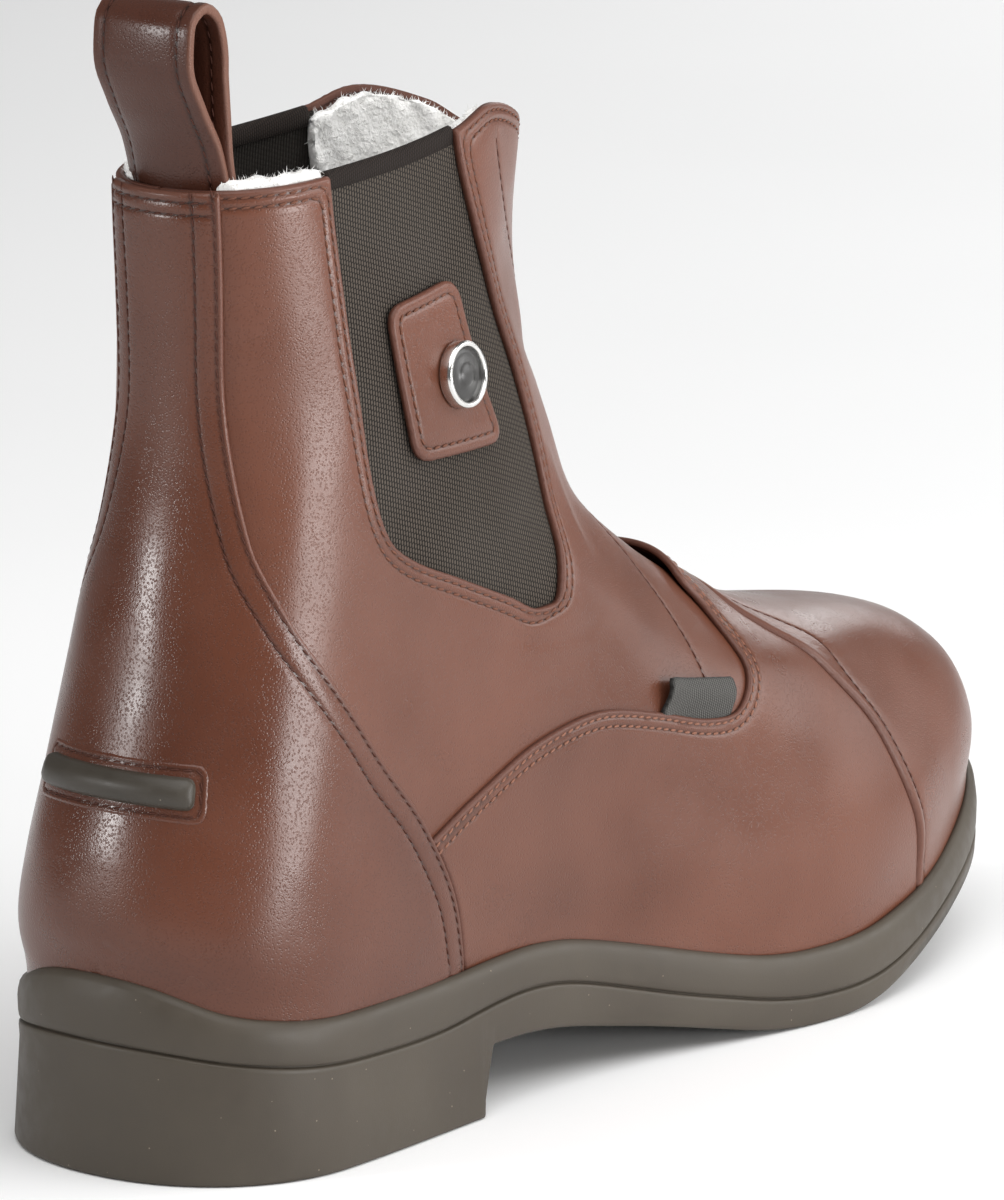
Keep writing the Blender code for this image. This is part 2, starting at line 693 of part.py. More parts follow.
def make_backstay(group):
    """The backstay that widens into the heel counter."""
    edge = side_spots(BACKSTAY_EDGE)
    edge = [(min(height, LAST_RING), turn) for height, turn in edge if height > FOOT_HEIGHT]
    heel_turn = locate(*BACKSTAY_EDGE[-1])[1]
    lateral = edge + feather_run(heel_turn, 0.0, HEEL_FOOT_STEPS)[:-1]
    spots = lateral + [(FOOT_HEIGHT, 0.0)] + [(height, -turn) for height, turn in reversed(lateral)]
    return make_panel("backstay", spots, OVERLAY_TOP, OVERLAY_THICK, "leather", group, SEAM_GAP)


def gore_spots(inner):
    """The gore's outline: its window below the collar, closed along the collar edge."""
    top = LAST_RING - GORE_TOP_DROP
    spots = [spot for spot in side_spots(GORE_WINDOW, inner) if spot[0] < top - GORE_CORNER]
    run = np.linspace(locate(*GORE_WINDOW[-2], inner)[1], locate(*GORE_WINDOW[1], inner)[1], GORE_TOP_STEPS)
    return spots + [(top, turn) for turn in run]


def make_gore(name, inner, group):
    """The elastic gore, sewn behind its window with an overlap all round below the collar."""
    return make_panel(name, gore_spots(inner), GORE_TOP, GORE_THICK, "elastic", group, -GORE_OVERLAP)


def make_patch(group):
    """The sewn leather patch on the outer gore that carries the badge."""
    spots = [locate(x, z) for x, z in rounded_outline(GORE_PATCH, PATCH_CORNER)]
    return make_panel("gore_patch", spots, PATCH_TOP, PATCH_THICK, "leather", group)


def make_tab(group):
    """The plain woven tab at the vamp's edge."""
    spots = [locate(x, z) for x, z in TAB_OUTLINE]
    return make_panel("label_tab", spots, TAB_TOP, TAB_THICK, "tape", group)


def spur_spots(margin_z, margin_span):
    """Rectangle round the back of the heel with rounded ends."""
    half = SPUR_HEIGHT / 2 + margin_z
    low = locate(BACK_AT_SPUR, SPUR_Z - half)[0]
    high = locate(BACK_AT_SPUR, SPUR_Z + half)[0]
    span = SPUR_HALF_SPAN + margin_span
    soft = SPUR_SOFT * (high - low)
    lean = SPUR_LEAN
    corner = [(low, span - lean), (low + soft, span), (high - soft, span), (high, span - lean)]
    run = [(high, turn) for turn in np.linspace(span - lean, -(span - lean), SPUR_STEPS)[1:-1]]
    back = [(low, turn) for turn in np.linspace(-(span - lean), span - lean, SPUR_STEPS)[1:-1]]
    return corner + run + [(h, -t) for h, t in reversed(corner)] + back


def make_spur_rest(group):
    """The rubber spur rest and the leather surround it is sewn in."""
    make_panel("spur_surround", spur_spots(SURROUND_MARGIN_Z, SURROUND_MARGIN_SPAN),
               CLEARANCE + SURROUND_THICK, SURROUND_THICK, "leather_dark", group, lattice=2)
    top = 2 * CLEARANCE + SURROUND_THICK + SPUR_THICK
    bar = make_panel("spur_rest", spur_spots(0.0, 0.0), top, SPUR_THICK, "rubber", group, lattice=2)
    return bar


def make_loop(group):
    """The pull loop: a folded strap, both legs held inside the collar behind the backstay."""
    path = dense_curve(LOOP_PATH, LOOP_STEP)
    across = np.linspace(-1, 1, LOOP_ACROSS)
    rows = []
    for x, z in path:
        flat = np.clip((z - LOOP_BOW_BELOW) / (LOOP_FLAT_ABOVE - LOOP_BOW_BELOW), 0, 1)
        bow = LOOP_BOW * (1 - (1 - LOOP_BOW_LEFT) * flat)
        rows.append([(x + bow * u * u, u * LOOP_WIDTH / 2, z) for u in across])
    rows = np.array(rows)
    count = len(across)
    faces = []
    for i in range(len(rows) - 1):
        for j in range(count - 1):
            a = i * count + j
            faces.append((a, a + 1, a + count + 1, a + count))
    item = add_object("pull_loop", placed(rows.reshape(-1, 3)), faces, "leather", group)
    wall = thicken(item, LOOP_THICK, outward=True)
    wall.offset = 0.0
    return item


def make_badge(group):
    """A plain round metal button, turned about its own axis, seated on the gore patch."""
    mesh = bpy.data.meshes.new("badge")
    profile = [(radius * MM, 0.0, rise * MM) for radius, rise in BADGE_PROFILE]
    mesh.from_pydata(profile, [(k, k + 1) for k in range(len(profile) - 1)], [])
    item = bpy.data.objects.new("badge", mesh)
    item.data.materials.append(material("metal"))
    turn = item.modifiers.new("turn", "SCREW")
    turn.steps = BADGE_STEPS
    turn.render_steps = BADGE_STEPS
    turn.use_merge_vertices = True
    turn.merge_threshold = WELD
    turn.use_smooth_shade = True
    height, around = locate(BADGE_X, BADGE_Z)
    seat = skin_at(np.array([height]), np.array([around]), PATCH_TOP + CLEARANCE)[0]
    above = skin_at(np.array([height]), np.array([around]), PATCH_TOP + CLEARANCE + 1.0)[0]
    item.location = placed(seat)
    item.rotation_euler = Vector(above - seat).to_track_quat("Z", "Y").to_euler()
    group.objects.link(item)
    return item


def main():
    clear_scene()
    parts = collection("jodhpur_boot")
    cutters = collection("cutters")
    make_outsole(parts)
    make_insole(parts)
    make_upper(parts, cutters)
    make_vamp(parts)
    make_toe_cap(parts)
    make_backstay(parts)
    make_gore("gore_lateral", False, parts)
    make_gore("gore_medial", True, parts)
    make_patch(parts)
    make_badge(parts)
    make_tab(parts)
    make_spur_rest(parts)
    make_loop(parts)


main()
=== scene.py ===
"""Looks of the jodhpur boot: leather panels, elastic, fleece, sole, stitches, light and camera.

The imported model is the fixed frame. Lengths below are millimetres along the boot, as in the part's
source: x from the back of the heel to the toe, z up from the floor, y negative on the outer side.
Ring heights count the rows of RINGS from the sole to the collar, and turns go once round the last.
"""
import math

import bpy
import numpy as np
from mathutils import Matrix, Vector
from mathutils.geometry import delaunay_2d_cdt
from mathutils.kdtree import KDTree

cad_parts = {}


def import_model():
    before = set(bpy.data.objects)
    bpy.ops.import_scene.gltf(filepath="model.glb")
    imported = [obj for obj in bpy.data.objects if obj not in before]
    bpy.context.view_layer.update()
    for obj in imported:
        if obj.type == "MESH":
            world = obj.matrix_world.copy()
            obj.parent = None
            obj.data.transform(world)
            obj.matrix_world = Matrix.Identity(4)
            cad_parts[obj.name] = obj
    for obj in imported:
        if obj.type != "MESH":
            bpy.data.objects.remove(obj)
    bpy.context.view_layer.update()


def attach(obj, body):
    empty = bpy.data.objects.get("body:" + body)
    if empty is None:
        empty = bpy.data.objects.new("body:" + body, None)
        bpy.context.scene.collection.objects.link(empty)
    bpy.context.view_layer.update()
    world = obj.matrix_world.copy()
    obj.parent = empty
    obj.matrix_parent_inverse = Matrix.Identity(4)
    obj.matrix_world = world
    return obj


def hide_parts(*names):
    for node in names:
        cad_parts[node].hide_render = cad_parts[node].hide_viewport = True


MM = 0.001

# Driving sizes of the last and the sole
SOLE_LENGTH = 288.0
SOLE_EDGE = 3.6
TOE_EDGE = 4.0
TOE_SWING = 3.0
SWING_START = 150.0
ROUNDING_POWER = 2.15
ROLL_INSET = 0.8
HEEL_FLARE = 1.3
BREAST_BOTTOM_X = 82.0
BREAST_TOP_X = 86.5
RING_COLUMNS = ("back_x", "back_z", "front_x", "front_z",
                "heel_out", "waist_out", "ball_out", "toe_out",
                "heel_in", "waist_in", "ball_in", "toe_in",
                "back_round", "front_round")
RINGS = np.array([
    [3.6, 42, 284, 39, 35.5, 34, 46.5, 43.5, 35.5, 27.5, 43, 40, 34, 92],
    [0.8, 52, 286, 51, 36, 36, 46.5, 43.5, 36, 30, 44, 40, 35, 92],
    [2.6, 64, 279, 63, 35.5, 36, 42, 38.5, 35.5, 32, 40, 35, 36, 94],
    [7, 78, 256, 74, 34.5, 36, 37, 33.5, 34.5, 34, 35, 31, 36, 94],
    [11.5, 93, 226, 79.5, 33.5, 35, 33.5, 30, 33.5, 34, 33, 29, 36, 90],
    [16, 110, 196, 89, 32, 34, 32, 28, 32, 34, 32, 28, 35, 80],
    [21.5, 130, 157, 112, 30.5, 33, 31, 27, 30.5, 33, 31, 27, 33, 62],
    [24, 153, 140, 137, 28.5, 31, 29, 25.5, 28.5, 31, 29, 25.5, 31, 47],
    [23.7, 176, 131, 167, 26.5, 28, 25.5, 21.5, 26.5, 28, 25.5, 21.5, 29, 38],
    [22.5, 199, 134, 199, 25, 25, 22, 18.5, 25, 25, 22, 18.5, 28, 32],
])
STATIONS = np.array([0.0, 0.14, 0.42, 0.68, 0.88, 1.0])
WIDTH_PLACES = ("heel", "heel", "waist", "ball", "toe", "toe")
LAST_RING = len(RINGS) - 1
FEATHER_REACH = 4.0
FEATHER_FADE = 1.5
COLLAR_START = 6.0
COLLAR_SHARE = (0.0, 0.256, 0.64, 0.767, 0.92, 1.0)
COLLAR_RISE = (0.0, 1.6, 4.7, 7.6, 3.0, -4.0)
SOLE_COLUMNS = ("x", "tread", "groove", "feather", "seat")
SOLE = np.array([
    [0, 0, 28, 42, 33],
    [12, 0, 25, 34.8, 32],
    [38, 0, 22, 32, 30],
    [66, 0, 21.3, 32, 29.5],
    [82, 0, 22.8, 32.5, 29.5],
    [86.5, 14.4, 23.6, 32.9, 29.5],
    [103, 14, 23.9, 33, 29.5],
    [123, 10.5, 19.8, 29.5, 26.5],
    [144, 6.5, 13.9, 24, 21],
    [165, 2, 9.1, 18.8, 16],
    [176, 0, 6.8, 17, 14],
    [197, 0, 6.2, 17, 14],
    [212, 3, 8, 18.8, 16],
    [230, 7.6, 12.1, 21.3, 18.5],
    [255, 14, 18.7, 28, 25],
    [288, 23, 27.5, 40, 36],
])

# Seams as side-view curves of (x, z)
BACKSTAY_EDGE = ((26.5, 203), (27.4, 178), (27.6, 157), (28.5, 128), (32.5, 113), (40, 100), (52, 82.6),
                 (66.6, 64), (75, 48), (81, 28))
VAMP_EDGE = ((68.8, 61.7), (82.8, 68.4), (103.7, 76), (122, 78.5), (141, 75), (158, 70.5), (166, 69.8),
             (172.8, 73.6), (177, 80.3), (177, 88.5), (172, 95.2))
VAMP_RIDGE_X = 174.5
TOE_RIDGE_X = 186.5
TOE_SEAM = ((190, 85.4), (194.6, 81.8), (200.6, 76.2), (208.8, 67.6), (215.4, 59), (221.5, 43.3),
            (226, 29), (227, 12))
GORE_WINDOW = ((49.5, 226), (50.2, 199), (52.4, 169), (54, 155), (57.6, 132), (60.8, 124.5), (67, 119.8),
               (82, 113.4), (98, 106.7), (107.5, 102.8), (113, 103), (117, 108.5), (120.4, 118),
               (120.6, 127), (118.6, 137), (114, 150), (106, 166), (98.2, 183), (94, 199), (92, 226))
GORE_PATCH = ((64.5, 171.5), (89, 174.6), (101, 138.8), (69.7, 139.2))
PATCH_CORNER = 5.0
TAB_OUTLINE = ((145.6, 81.2), (167.8, 77.2), (165.6, 68.4), (142.3, 73.4))
FRONT_LINE = ((109.6, 203), (112, 190), (121, 173.5), (129, 158), (137, 141), (145, 124), (153, 108),
              (158.5, 96), (161, 84), (160, 74))
FOOT_HEIGHT = 0.06
RIDGE_STEPS = 12
FRONT_LINE_BELOW_COLLAR = 0.2

# Passes that iron small waves out of a run of spots
TOE_SEAM_PASSES = 30
VAMP_EDGE_PASSES = 8
FRONT_LINE_PASSES = 40
CAP_ROW_PASSES = 60
ROW_PASSES = 5

# Sewn rows: distances from the edges that they follow
QUARTER_ROWS = (1.4, 3.5)
BACKSTAY_ROWS = (1.2, 5.6)
BACKSTAY_TOP_ROWS = (2.0, 4.6)
VAMP_ROWS = (1.3, 3.2)
CAP_ROW = 4.0
PATCH_ROW = 2.5
SURROUND_ROW = 1.4

# Ring heights between which a row runs up the middle of the heel counter
COUNTER_ROW_RINGS = (0.04, 0.42)

# Layers of the visible leather: top faces outward from the outer skin, thicknesses, radii of cut edges
OVERLAY_TOP = 0.0
OVERLAY_THICK = 1.5
BACKSTAY_PROUD = 0.35
CAP_EXTRA_THICK = 0.2
CAP_RADIUS = 1.4
QUARTER_TOP = -1.4
QUARTER_THICK = 1.7
GORE_TOP = -3.2
GORE_THICK = 1.2
GORE_RADIUS = 0.4
GORE_OVERLAP = 3.5
GORE_BELOW_COLLAR = 0.03
GORE_UNEVEN = 0.6
PATCH_TOP = -1.8
PATCH_THICK = 1.4
TAB_TOP = 0.1
TAB_THICK = 1.2
TAB_RADIUS = 0.45
TAB_CORNER = 1.0
LINING_TOP = -3.4
LINING_THICK = 3.2
LINING_RADIUS = 1.5
EDGE_RADIUS = 0.9
TUCK = 4.0
TUCK_BELOW = 0.24

# Shapes over the plain layers: a pair says where the shape begins and where it is complete
LIP_RISE = 1.8
LIP_TURN = (0.16, 0.02)
LIP_EDGE = (11.0, 0.5)
LIP_X = (196.0, 176.0)
CAP_FOLD = 0.75
CAP_FOLD_EDGE = (4.0, 1.8)
CAP_FOLD_Z = (12.0, 34.0)
GORE_PULL = -0.7
GORE_PULL_EDGE = (3.0, 18.0)
TAB_SUNK = -1.5
TAB_LEAN = 2.4
TAB_LEAN_Z = (0.5, 6.5)
TAB_FOLD = 1.3
TAB_FOLD_X = (152.0, 143.0)
FLEECE_RISE = 1.5
FLEECE_DROP = -1.4
FLEECE_RISE_TURN = (0.3, 0.2)
FLEECE_LOOP_DROP = -2.6
FLEECE_LOOP_TURN = (0.061, 0.051)
FLEECE_LIFT_RING = (LAST_RING - 0.12, LAST_RING)
FLEECE_LUMP = 0.2
FLEECE_LUMP_Z = (197.0, 199.5)

# Spur rest
SPUR_Z = 80.0
BACK_AT_SPUR = 7.6
SPUR_HEIGHT = 6.4
SPUR_HALF_SPAN = 0.0455
SPUR_THICK = 3.6
SPUR_SUNK = 1.0
SPUR_CORNER = 3.0
SPUR_RADIUS = 0.5
SURROUND_MARGIN_Z = 2.6
SURROUND_MARGIN_SPAN = 0.006
SURROUND_THICK = 0.3
SURROUND_SUNK = 0.3
SURROUND_CORNER = 4.0
SURROUND_RADIUS = 0.7

# Pull loop: side-view path of (x, z) and its bow across
LOOP_WIDTH = 25.0
LOOP_THICK = 2.2
LOOP_PATH = ((28.5, 186), (27.7, 199), (26.4, 207), (22.6, 216), (19.4, 226), (20, 233), (24.2, 236.4),
             (28.6, 233), (30.2, 225), (29.8, 214), (29.4, 205), (30.1, 196), (30.6, 186))
LOOP_BOW = 4.2
LOOP_BOW_BELOW = 199.0
LOOP_FLAT_ABOVE = 222.0
LOOP_BOW_LEFT = 0.25
LOOP_STITCH_INSET = 3.2
LOOP_ROW_ENDS = 3
LOOP_EDGE_RADIUS = 0.5
LOOP_GROOVE_DEPTH = 0.25
LOOP_GROOVE_WIDTH = 0.6
LOOP_RIM = 0.8
LOOP_STEP = 1.6
LOOP_EDGE_FROM = 0.9
LOOP_EDGE_STEPS = 5
LOOP_INNER_STEPS = 25

# Badge: a plain round button on the gore patch
BADGE_X = 85.5
BADGE_Z = 155.0

# Stitches
STITCH_COLUMNS = ("Pitch", "Length", "Width", "Height")
STITCH_SIZES = {
    "dark": (2.6, 1.95, 0.46, 0.42),
    "brown": (2.6, 1.95, 0.6, 0.5),
    "light": (2.3, 1.75, 0.62, 0.55),
}
STITCH_SLANT = 9.0
STITCH_SUNK = 0.6
STITCH_FROM_EDGE = 3.0

# Fleece pile: metres and fibres per square metre, tilt in radians; facings, bend and sizes are shares
PILE_FROM_Z = 0.152
PILE_RIM_Z = 0.196
PILE_RIM_FACING = 0.3
PILE_INWARD_FACING = 0.6
PILE_MIDDLE_X = -0.07
PILE_BEND = 0.7
PILE_TILT = 0.8
PILE_SIZES = (0.5, 1.25)
PILE = {"Density": 1.25e6, "Length": 0.0011, "Thickness": 0.0001, "Seed": 4}

# Mesh steps
OUTLINE_STEP = 1.1
CURVE_STEP = 1.5
ROW_STEP = 0.6
SEARCH_STEP = 0.25
FINE_PARTS = 6
CORNER_STEPS = 8
ROUND_STEPS = 240
RING_STEPS = 118
BACK_STEPS = 60
BACKSTAY_TOP_STEPS = 30
COUNTER_ROW_STEPS = 12
BINDING_STEPS = 60
PLAN_STEPS = 400
BREAST_CLEAR = 0.4
CHART_ROUND = 600.0
CHART_RISE = 21.0
NORMAL_STEP = 1e-4
SEARCH_STEPS = 361

# Rows of a panel's mesh: their distances, how much of it they must keep, and gaps to the next kind of row
EDGE_ROWS = (0.09, 0.28, 0.55, 0.9, 1.5)
EDGE_CLEAR = 0.93
EDGE_TO_LINE = 0.3
EDGE_TO_GRID = 0.7
LINE_ROWS = (-1.0, -0.45, 0.0, 0.45, 1.0)
LINE_CLEAR = 0.9
LINE_TO_GRID = 0.6
SEWN_CLEAR = 0.96
GROOVE_DEPTH = 0.3
GROOVE_WIDTH = 0.45
RIM_REACH = 1.3


# The last


def hermite(u, gap, start, stop, start_slope, stop_slope):
    """Cubic across a gap between two values with their slopes, at a share u of the way."""
    return ((1 + 2 * u) * (1 - u) ** 2 * start + u * (1 - u) ** 2 * gap * start_slope
            + u * u * (3 - 2 * u) * stop + u * u * (u - 1) * gap * stop_slope)


def smooth_through(stations, values, at):
    """Monotone cubic through the given stations: no overshoot, and flat stretches stay flat."""
    x = np.asarray(stations, float)
    y = np.asarray(values, float)
    step = np.diff(x)
    slope = np.diff(y) / step
    tangent = np.zeros_like(y)
    rising = slope[:-1] * slope[1:] > 0
    first = 2 * step[1:] + step[:-1]
    second = step[1:] + 2 * step[:-1]
    with np.errstate(divide="ignore", invalid="ignore"):
        mean = (first + second) / (first / slope[:-1] + second / slope[1:])
    tangent[1:-1] = np.where(rising, mean, 0.0)
    tangent[0] = slope[0]
    tangent[-1] = slope[-1]
    at = np.clip(np.asarray(at, float), x[0], x[-1])
    i = np.clip(np.searchsorted(x, at) - 1, 0, len(x) - 2)
    return hermite((at - x[i]) / step[i], step[i], y[i], y[i + 1], tangent[i], tangent[i + 1])


def blend_rings(height):
    """Ring values at any height along the rows, by a Catmull-Rom curve through the rows."""
    height = np.clip(np.asarray(height, float), 0, LAST_RING)
    i = np.minimum(height.astype(int), LAST_RING - 1)
    f = (height - i)[..., None]
    here = RINGS[i]
    after = RINGS[i + 1]
    before = np.where((i == 0)[..., None], 2 * here - after, RINGS[np.maximum(i - 1, 0)])
    further = RINGS[np.minimum(i + 2, LAST_RING)]
    beyond = np.where((i == LAST_RING - 1)[..., None], 2 * after - here, further)
    rows = 0.5 * (2 * here + (after - before) * f
                  + (2 * before - 5 * here + 4 * after - beyond) * f ** 2
                  + (3 * here - before - 3 * after + beyond) * f ** 3)
    return {name: rows[..., k] for k, name in enumerate(RING_COLUMNS)}


def end_round(distance, length):
    """Share of the full width near a rounded end."""
    share = np.clip(distance / length, 0, 1)
    return (1 - (1 - share) ** ROUNDING_POWER) ** (1 / ROUNDING_POWER)


def swing(x):
    """The last's inward curve towards the toe."""
    return TOE_SWING * np.clip((x - SWING_START) / (SOLE_LENGTH - SWING_START), 0, None) ** 2


# The sole's lines at closely spaced x, each the mean of copies shifted along it
SOLE_X = np.linspace(0, SOLE_LENGTH, 2881)
EASE_SHIFTS = (-9.0, -6.0, -3.0, 0.0, 3.0, 6.0, 9.0)
EASE_ENDS = 30.0
TREAD_EASED_FROM = 100.0


def eased_line(column):
    """Heights of one line of the sole at SOLE_X, evened out except near its ends and under the heel."""
    reach = np.clip(np.minimum(SOLE_X, SOLE_LENGTH - SOLE_X) / EASE_ENDS, 0, 1)
    if column == "tread":
        reach = reach * (SOLE_X > TREAD_EASED_FROM)
    values = SOLE[:, SOLE_COLUMNS.index(column)]
    copies = [smooth_through(SOLE[:, 0], values, SOLE_X + reach * shift) for shift in EASE_SHIFTS]
    return np.mean(copies, axis=0)


SOLE_LINES = {column: eased_line(column) for column in SOLE_COLUMNS[1:]}


def sole_height(column, x):
    """Height of one line of the sole at x."""
    return np.interp(x, SOLE_X, SOLE_LINES[column])


def half_width(row, share, inner, grow=0.0):
    """Half width of a ring at shares of its length, on the outer or the inner side."""
    at = np.clip(share, 0, 1)
    i = np.clip(np.searchsorted(STATIONS, at, side="right") - 1, 0, len(STATIONS) - 2)
    lateral = station_curve([row[place + "_out"] for place in WIDTH_PLACES], at, i)
    medial = station_curve([row[place + "_in"] for place in WIDTH_PLACES], at, i)
    return np.where(inner, medial, lateral) + grow


def station_curve(values, at, i):
    """Cubic through the width stations, whose values may differ from point to point."""
    table = np.stack([np.broadcast_to(v, np.shape(at)) for v in values])
    gaps = np.diff(STATIONS)
    slopes = np.diff(table, axis=0) / gaps.reshape((-1,) + (1,) * np.ndim(at))
    tangents = np.zeros_like(table)
    for k in range(1, len(values) - 1):
        tangents[k] = (slopes[k - 1] * gaps[k] + slopes[k] * gaps[k - 1]) / (gaps[k - 1] + gaps[k])

    def pick(rows, index):
        return np.take_along_axis(rows, index[None], axis=0)[0]

    u = (at - STATIONS[i]) / gaps[i]
    return hermite(u, gaps[i], pick(table, i), pick(table, i + 1), pick(tangents, i), pick(tangents, i + 1))


def ring_heights(row, height, share):
    """Height of a ring's points: its tilt, the feather line low down and the collar edge at the top."""
    base = row["back_z"] + (row["front_z"] - row["back_z"]) * share
    lowest = RINGS[0, 1] + (RINGS[0, 3] - RINGS[0, 1]) * share
    feather = sole_height("feather", share * SOLE_LENGTH) - lowest
    feather = feather * np.clip(1 - height / FEATHER_REACH, 0, 1) ** FEATHER_FADE
    collar = smooth_through(COLLAR_SHARE, COLLAR_RISE, share)
    return base + feather + collar * np.clip((height - COLLAR_START) / (LAST_RING - COLLAR_START), 0, 1) ** 2


def skin(height, turn):
    """Outer skin of the upper. Turn runs 0 at the back, over the outer side to 0.5 at the front, to 1."""
    height = np.asarray(height, float)
    turn = np.asarray(turn, float) % 1.0
    row = blend_rings(height)
    share = (1 - np.cos(2 * math.pi * turn)) / 2
    inner = turn > 0.5
    length = row["front_x"] - row["back_x"]
    x = row["back_x"] + length * share
    width = half_width(row, share, inner)
    width = width * end_round(share * length, row["back_round"])
    width = width * end_round((1 - share) * length, row["front_round"])
    y = np.where(inner, width, -width) + swing(x)
    return np.stack([x, y, ring_heights(row, height, share)], axis=-1)


def slopes_at(height, turn):
    """Change of the skin's point per unit of turn and of ring height, and the outward normal."""
    height = np.clip(np.asarray(height, float), 0, LAST_RING)
    turn = np.asarray(turn, float)
    around = (skin(height, turn + NORMAL_STEP) - skin(height, turn - NORMAL_STEP)) / (2 * NORMAL_STEP)
    above = np.clip(height + NORMAL_STEP, 0, LAST_RING)
    below = np.clip(height - NORMAL_STEP, 0, LAST_RING)
    up = (skin(above, turn) - skin(below, turn)) / (above - below)[..., None]
    normal = np.cross(around, up)
    normal /= np.linalg.norm(normal, axis=-1, keepdims=True)
    return around, up, normal


def ring_share(row, x):
    """Share of a ring's length at x."""
    return np.clip((x - row["back_x"]) / (row["front_x"] - row["back_x"]), 0, 1)


def turn_at(share):
    """Turn on the outer side at a share of a ring's length."""
    return math.acos(1 - 2 * share) / (2 * math.pi)


def locate(x, z, inner=False):
    """Ring height and turn of the skin's point seen at (x, z) from the side."""
    heights = np.linspace(0, LAST_RING, SEARCH_STEPS)
    row = blend_rings(heights)
    share = ring_share(row, x)
    level = np.maximum.accumulate(ring_heights(row, heights, share) + 1e-6 * heights)
    height = float(np.interp(z, level, heights))
    turn = turn_at(float(np.interp(height, heights, share)))
    return height, (1 - turn if inner else turn)


def dense_curve(points, step=CURVE_STEP):
    """A smooth curve through side-view points, as closely spaced points."""
    points = np.asarray(points, float)
    along = np.concatenate([[0], np.cumsum(np.linalg.norm(np.diff(points, axis=0), axis=1))])
    count = max(2, int(round(along[-1] / step)) + 1)
    at = np.linspace(0, along[-1], count)
    return np.stack([smooth_through(along, points[:, k], at) for k in range(2)], axis=-1)


def rounded_outline(points, radius):
    """A closed outline with its corners rounded off."""
    points = [np.asarray(p, float) for p in points]
    result = []
    for k, corner in enumerate(points):
        before = points[k - 1] - corner
        after = points[(k + 1) % len(points)] - corner
        start = corner + before / np.linalg.norm(before) * radius
        stop = corner + after / np.linalg.norm(after) * radius
        for u in np.linspace(0, 1, CORNER_STEPS):
            result.append((1 - u) ** 2 * start + 2 * u * (1 - u) * corner + u * u * stop)
    return np.array(result)


def sole_stations(steps):
    """Places along the sole, closer at its ends, with both edges of the heel breast among them."""
    fixed = (BREAST_BOTTOM_X, BREAST_TOP_X)
    plain = SOLE_LENGTH * (1 - np.cos(np.linspace(0, math.pi, steps))) / 2
    away = np.abs(plain[:, None] - fixed).min(axis=1)
    return np.sort(np.concatenate([plain[away > BREAST_CLEAR], fixed]))


def sole_outline(inset, steps, flare=0.0):
    """Plan outline of the sole with an inset, and the plain x of each station; outer side first."""
    row = {name: np.array(value) for name, value in zip(RING_COLUMNS, RINGS[0])}
    plain = sole_stations(steps)
    share = plain / SOLE_LENGTH
    inset = inset - flare * (plain <= BREAST_BOTTOM_X)
    x = inset + (SOLE_LENGTH - 2 * inset) * share
    length = SOLE_LENGTH - 2 * inset
    sides = []
    for inner in (False, True):
        width = half_width(row, share, np.full(share.shape, inner), SOLE_EDGE - inset)
        width = width * end_round(share * length, row["back_round"] + SOLE_EDGE - inset)
        width = width * end_round((1 - share) * length, row["front_round"] + TOE_EDGE - inset)
        sides.append(np.stack([x, (width if inner else -width) + swing(x)], axis=-1))
    return plain, sides[0], sides[1]


def middle_of_sole():
    """The model's origin in the boot's own layout: on the floor under the middle of the sole."""
    outer, inner = sole_outline(0.0, PLAN_STEPS)[1:]
    return np.array([(SOLE_LENGTH - ROLL_INSET) / 2, (outer[:, 1].min() + inner[:, 1].max()) / 2, 0.0])


ORIGIN = middle_of_sole()


def placed(points):
    """Millimetres in the boot's own layout to metres in the model."""
    return (np.asarray(points, float) - ORIGIN) * MM


# Runs of spots on the skin


def located(points, inner=False):
    """Skin spots of side-view points."""
    return np.array([locate(x, z, inner) for x, z in points])


def side_spots(points, inner=False):
    """Skin spots along a side-view curve."""
    return located(dense_curve(points), inner)


def ring_run(height, start_turn, stop_turn, count=None):
    """Skin spots at one ring height, as many as given or as the turn needs."""
    if count is None:
        count = max(2, int(abs(stop_turn - start_turn) * ROUND_STEPS))
    return np.column_stack([np.full(count, float(height)), np.linspace(start_turn, stop_turn, count)])


def feather_run(start_turn, stop_turn):
    """Skin spots along the feather line, just above the sole."""
    return ring_run(FOOT_HEIGHT, start_turn, stop_turn)


def collar_run(start_turn, stop_turn):
    """Skin spots along the collar edge."""
    return ring_run(LAST_RING, start_turn, stop_turn)


def mirrored(spots):
    """The same spots on the other side, back to front."""
    spots = np.asarray(spots)[::-1]
    return np.column_stack([spots[:, 0], 1 - spots[:, 1]])


def even_spots(spots, step, closed=False):
    """The same run with its spots evenly spaced along the skin."""
    spots = np.asarray(spots, float)
    if closed:
        spots = np.vstack([spots, spots[:1]])
    parts = [np.linspace(a, b, FINE_PARTS, endpoint=False) for a, b in zip(spots[:-1], spots[1:])]
    fine = np.concatenate(parts + [spots[-1:]])
    points = skin(fine[:, 0], fine[:, 1])
    along = np.concatenate([[0], np.cumsum(np.linalg.norm(np.diff(points, axis=0), axis=1))])
    at = np.linspace(0, along[-1], max(2, int(round(along[-1] / step)) + 1))
    even = np.column_stack([np.interp(at, along, fine[:, k]) for k in range(2)])
    return even[:-1] if closed else even


def softened(spots, passes):
    """The run with its small waves ironed out; its ends stay."""
    spots = even_spots(spots, OUTLINE_STEP)
    for _ in range(passes):
        spots[1:-1] = (spots[:-2] + 2 * spots[1:-1] + spots[2:]) / 4
    return spots


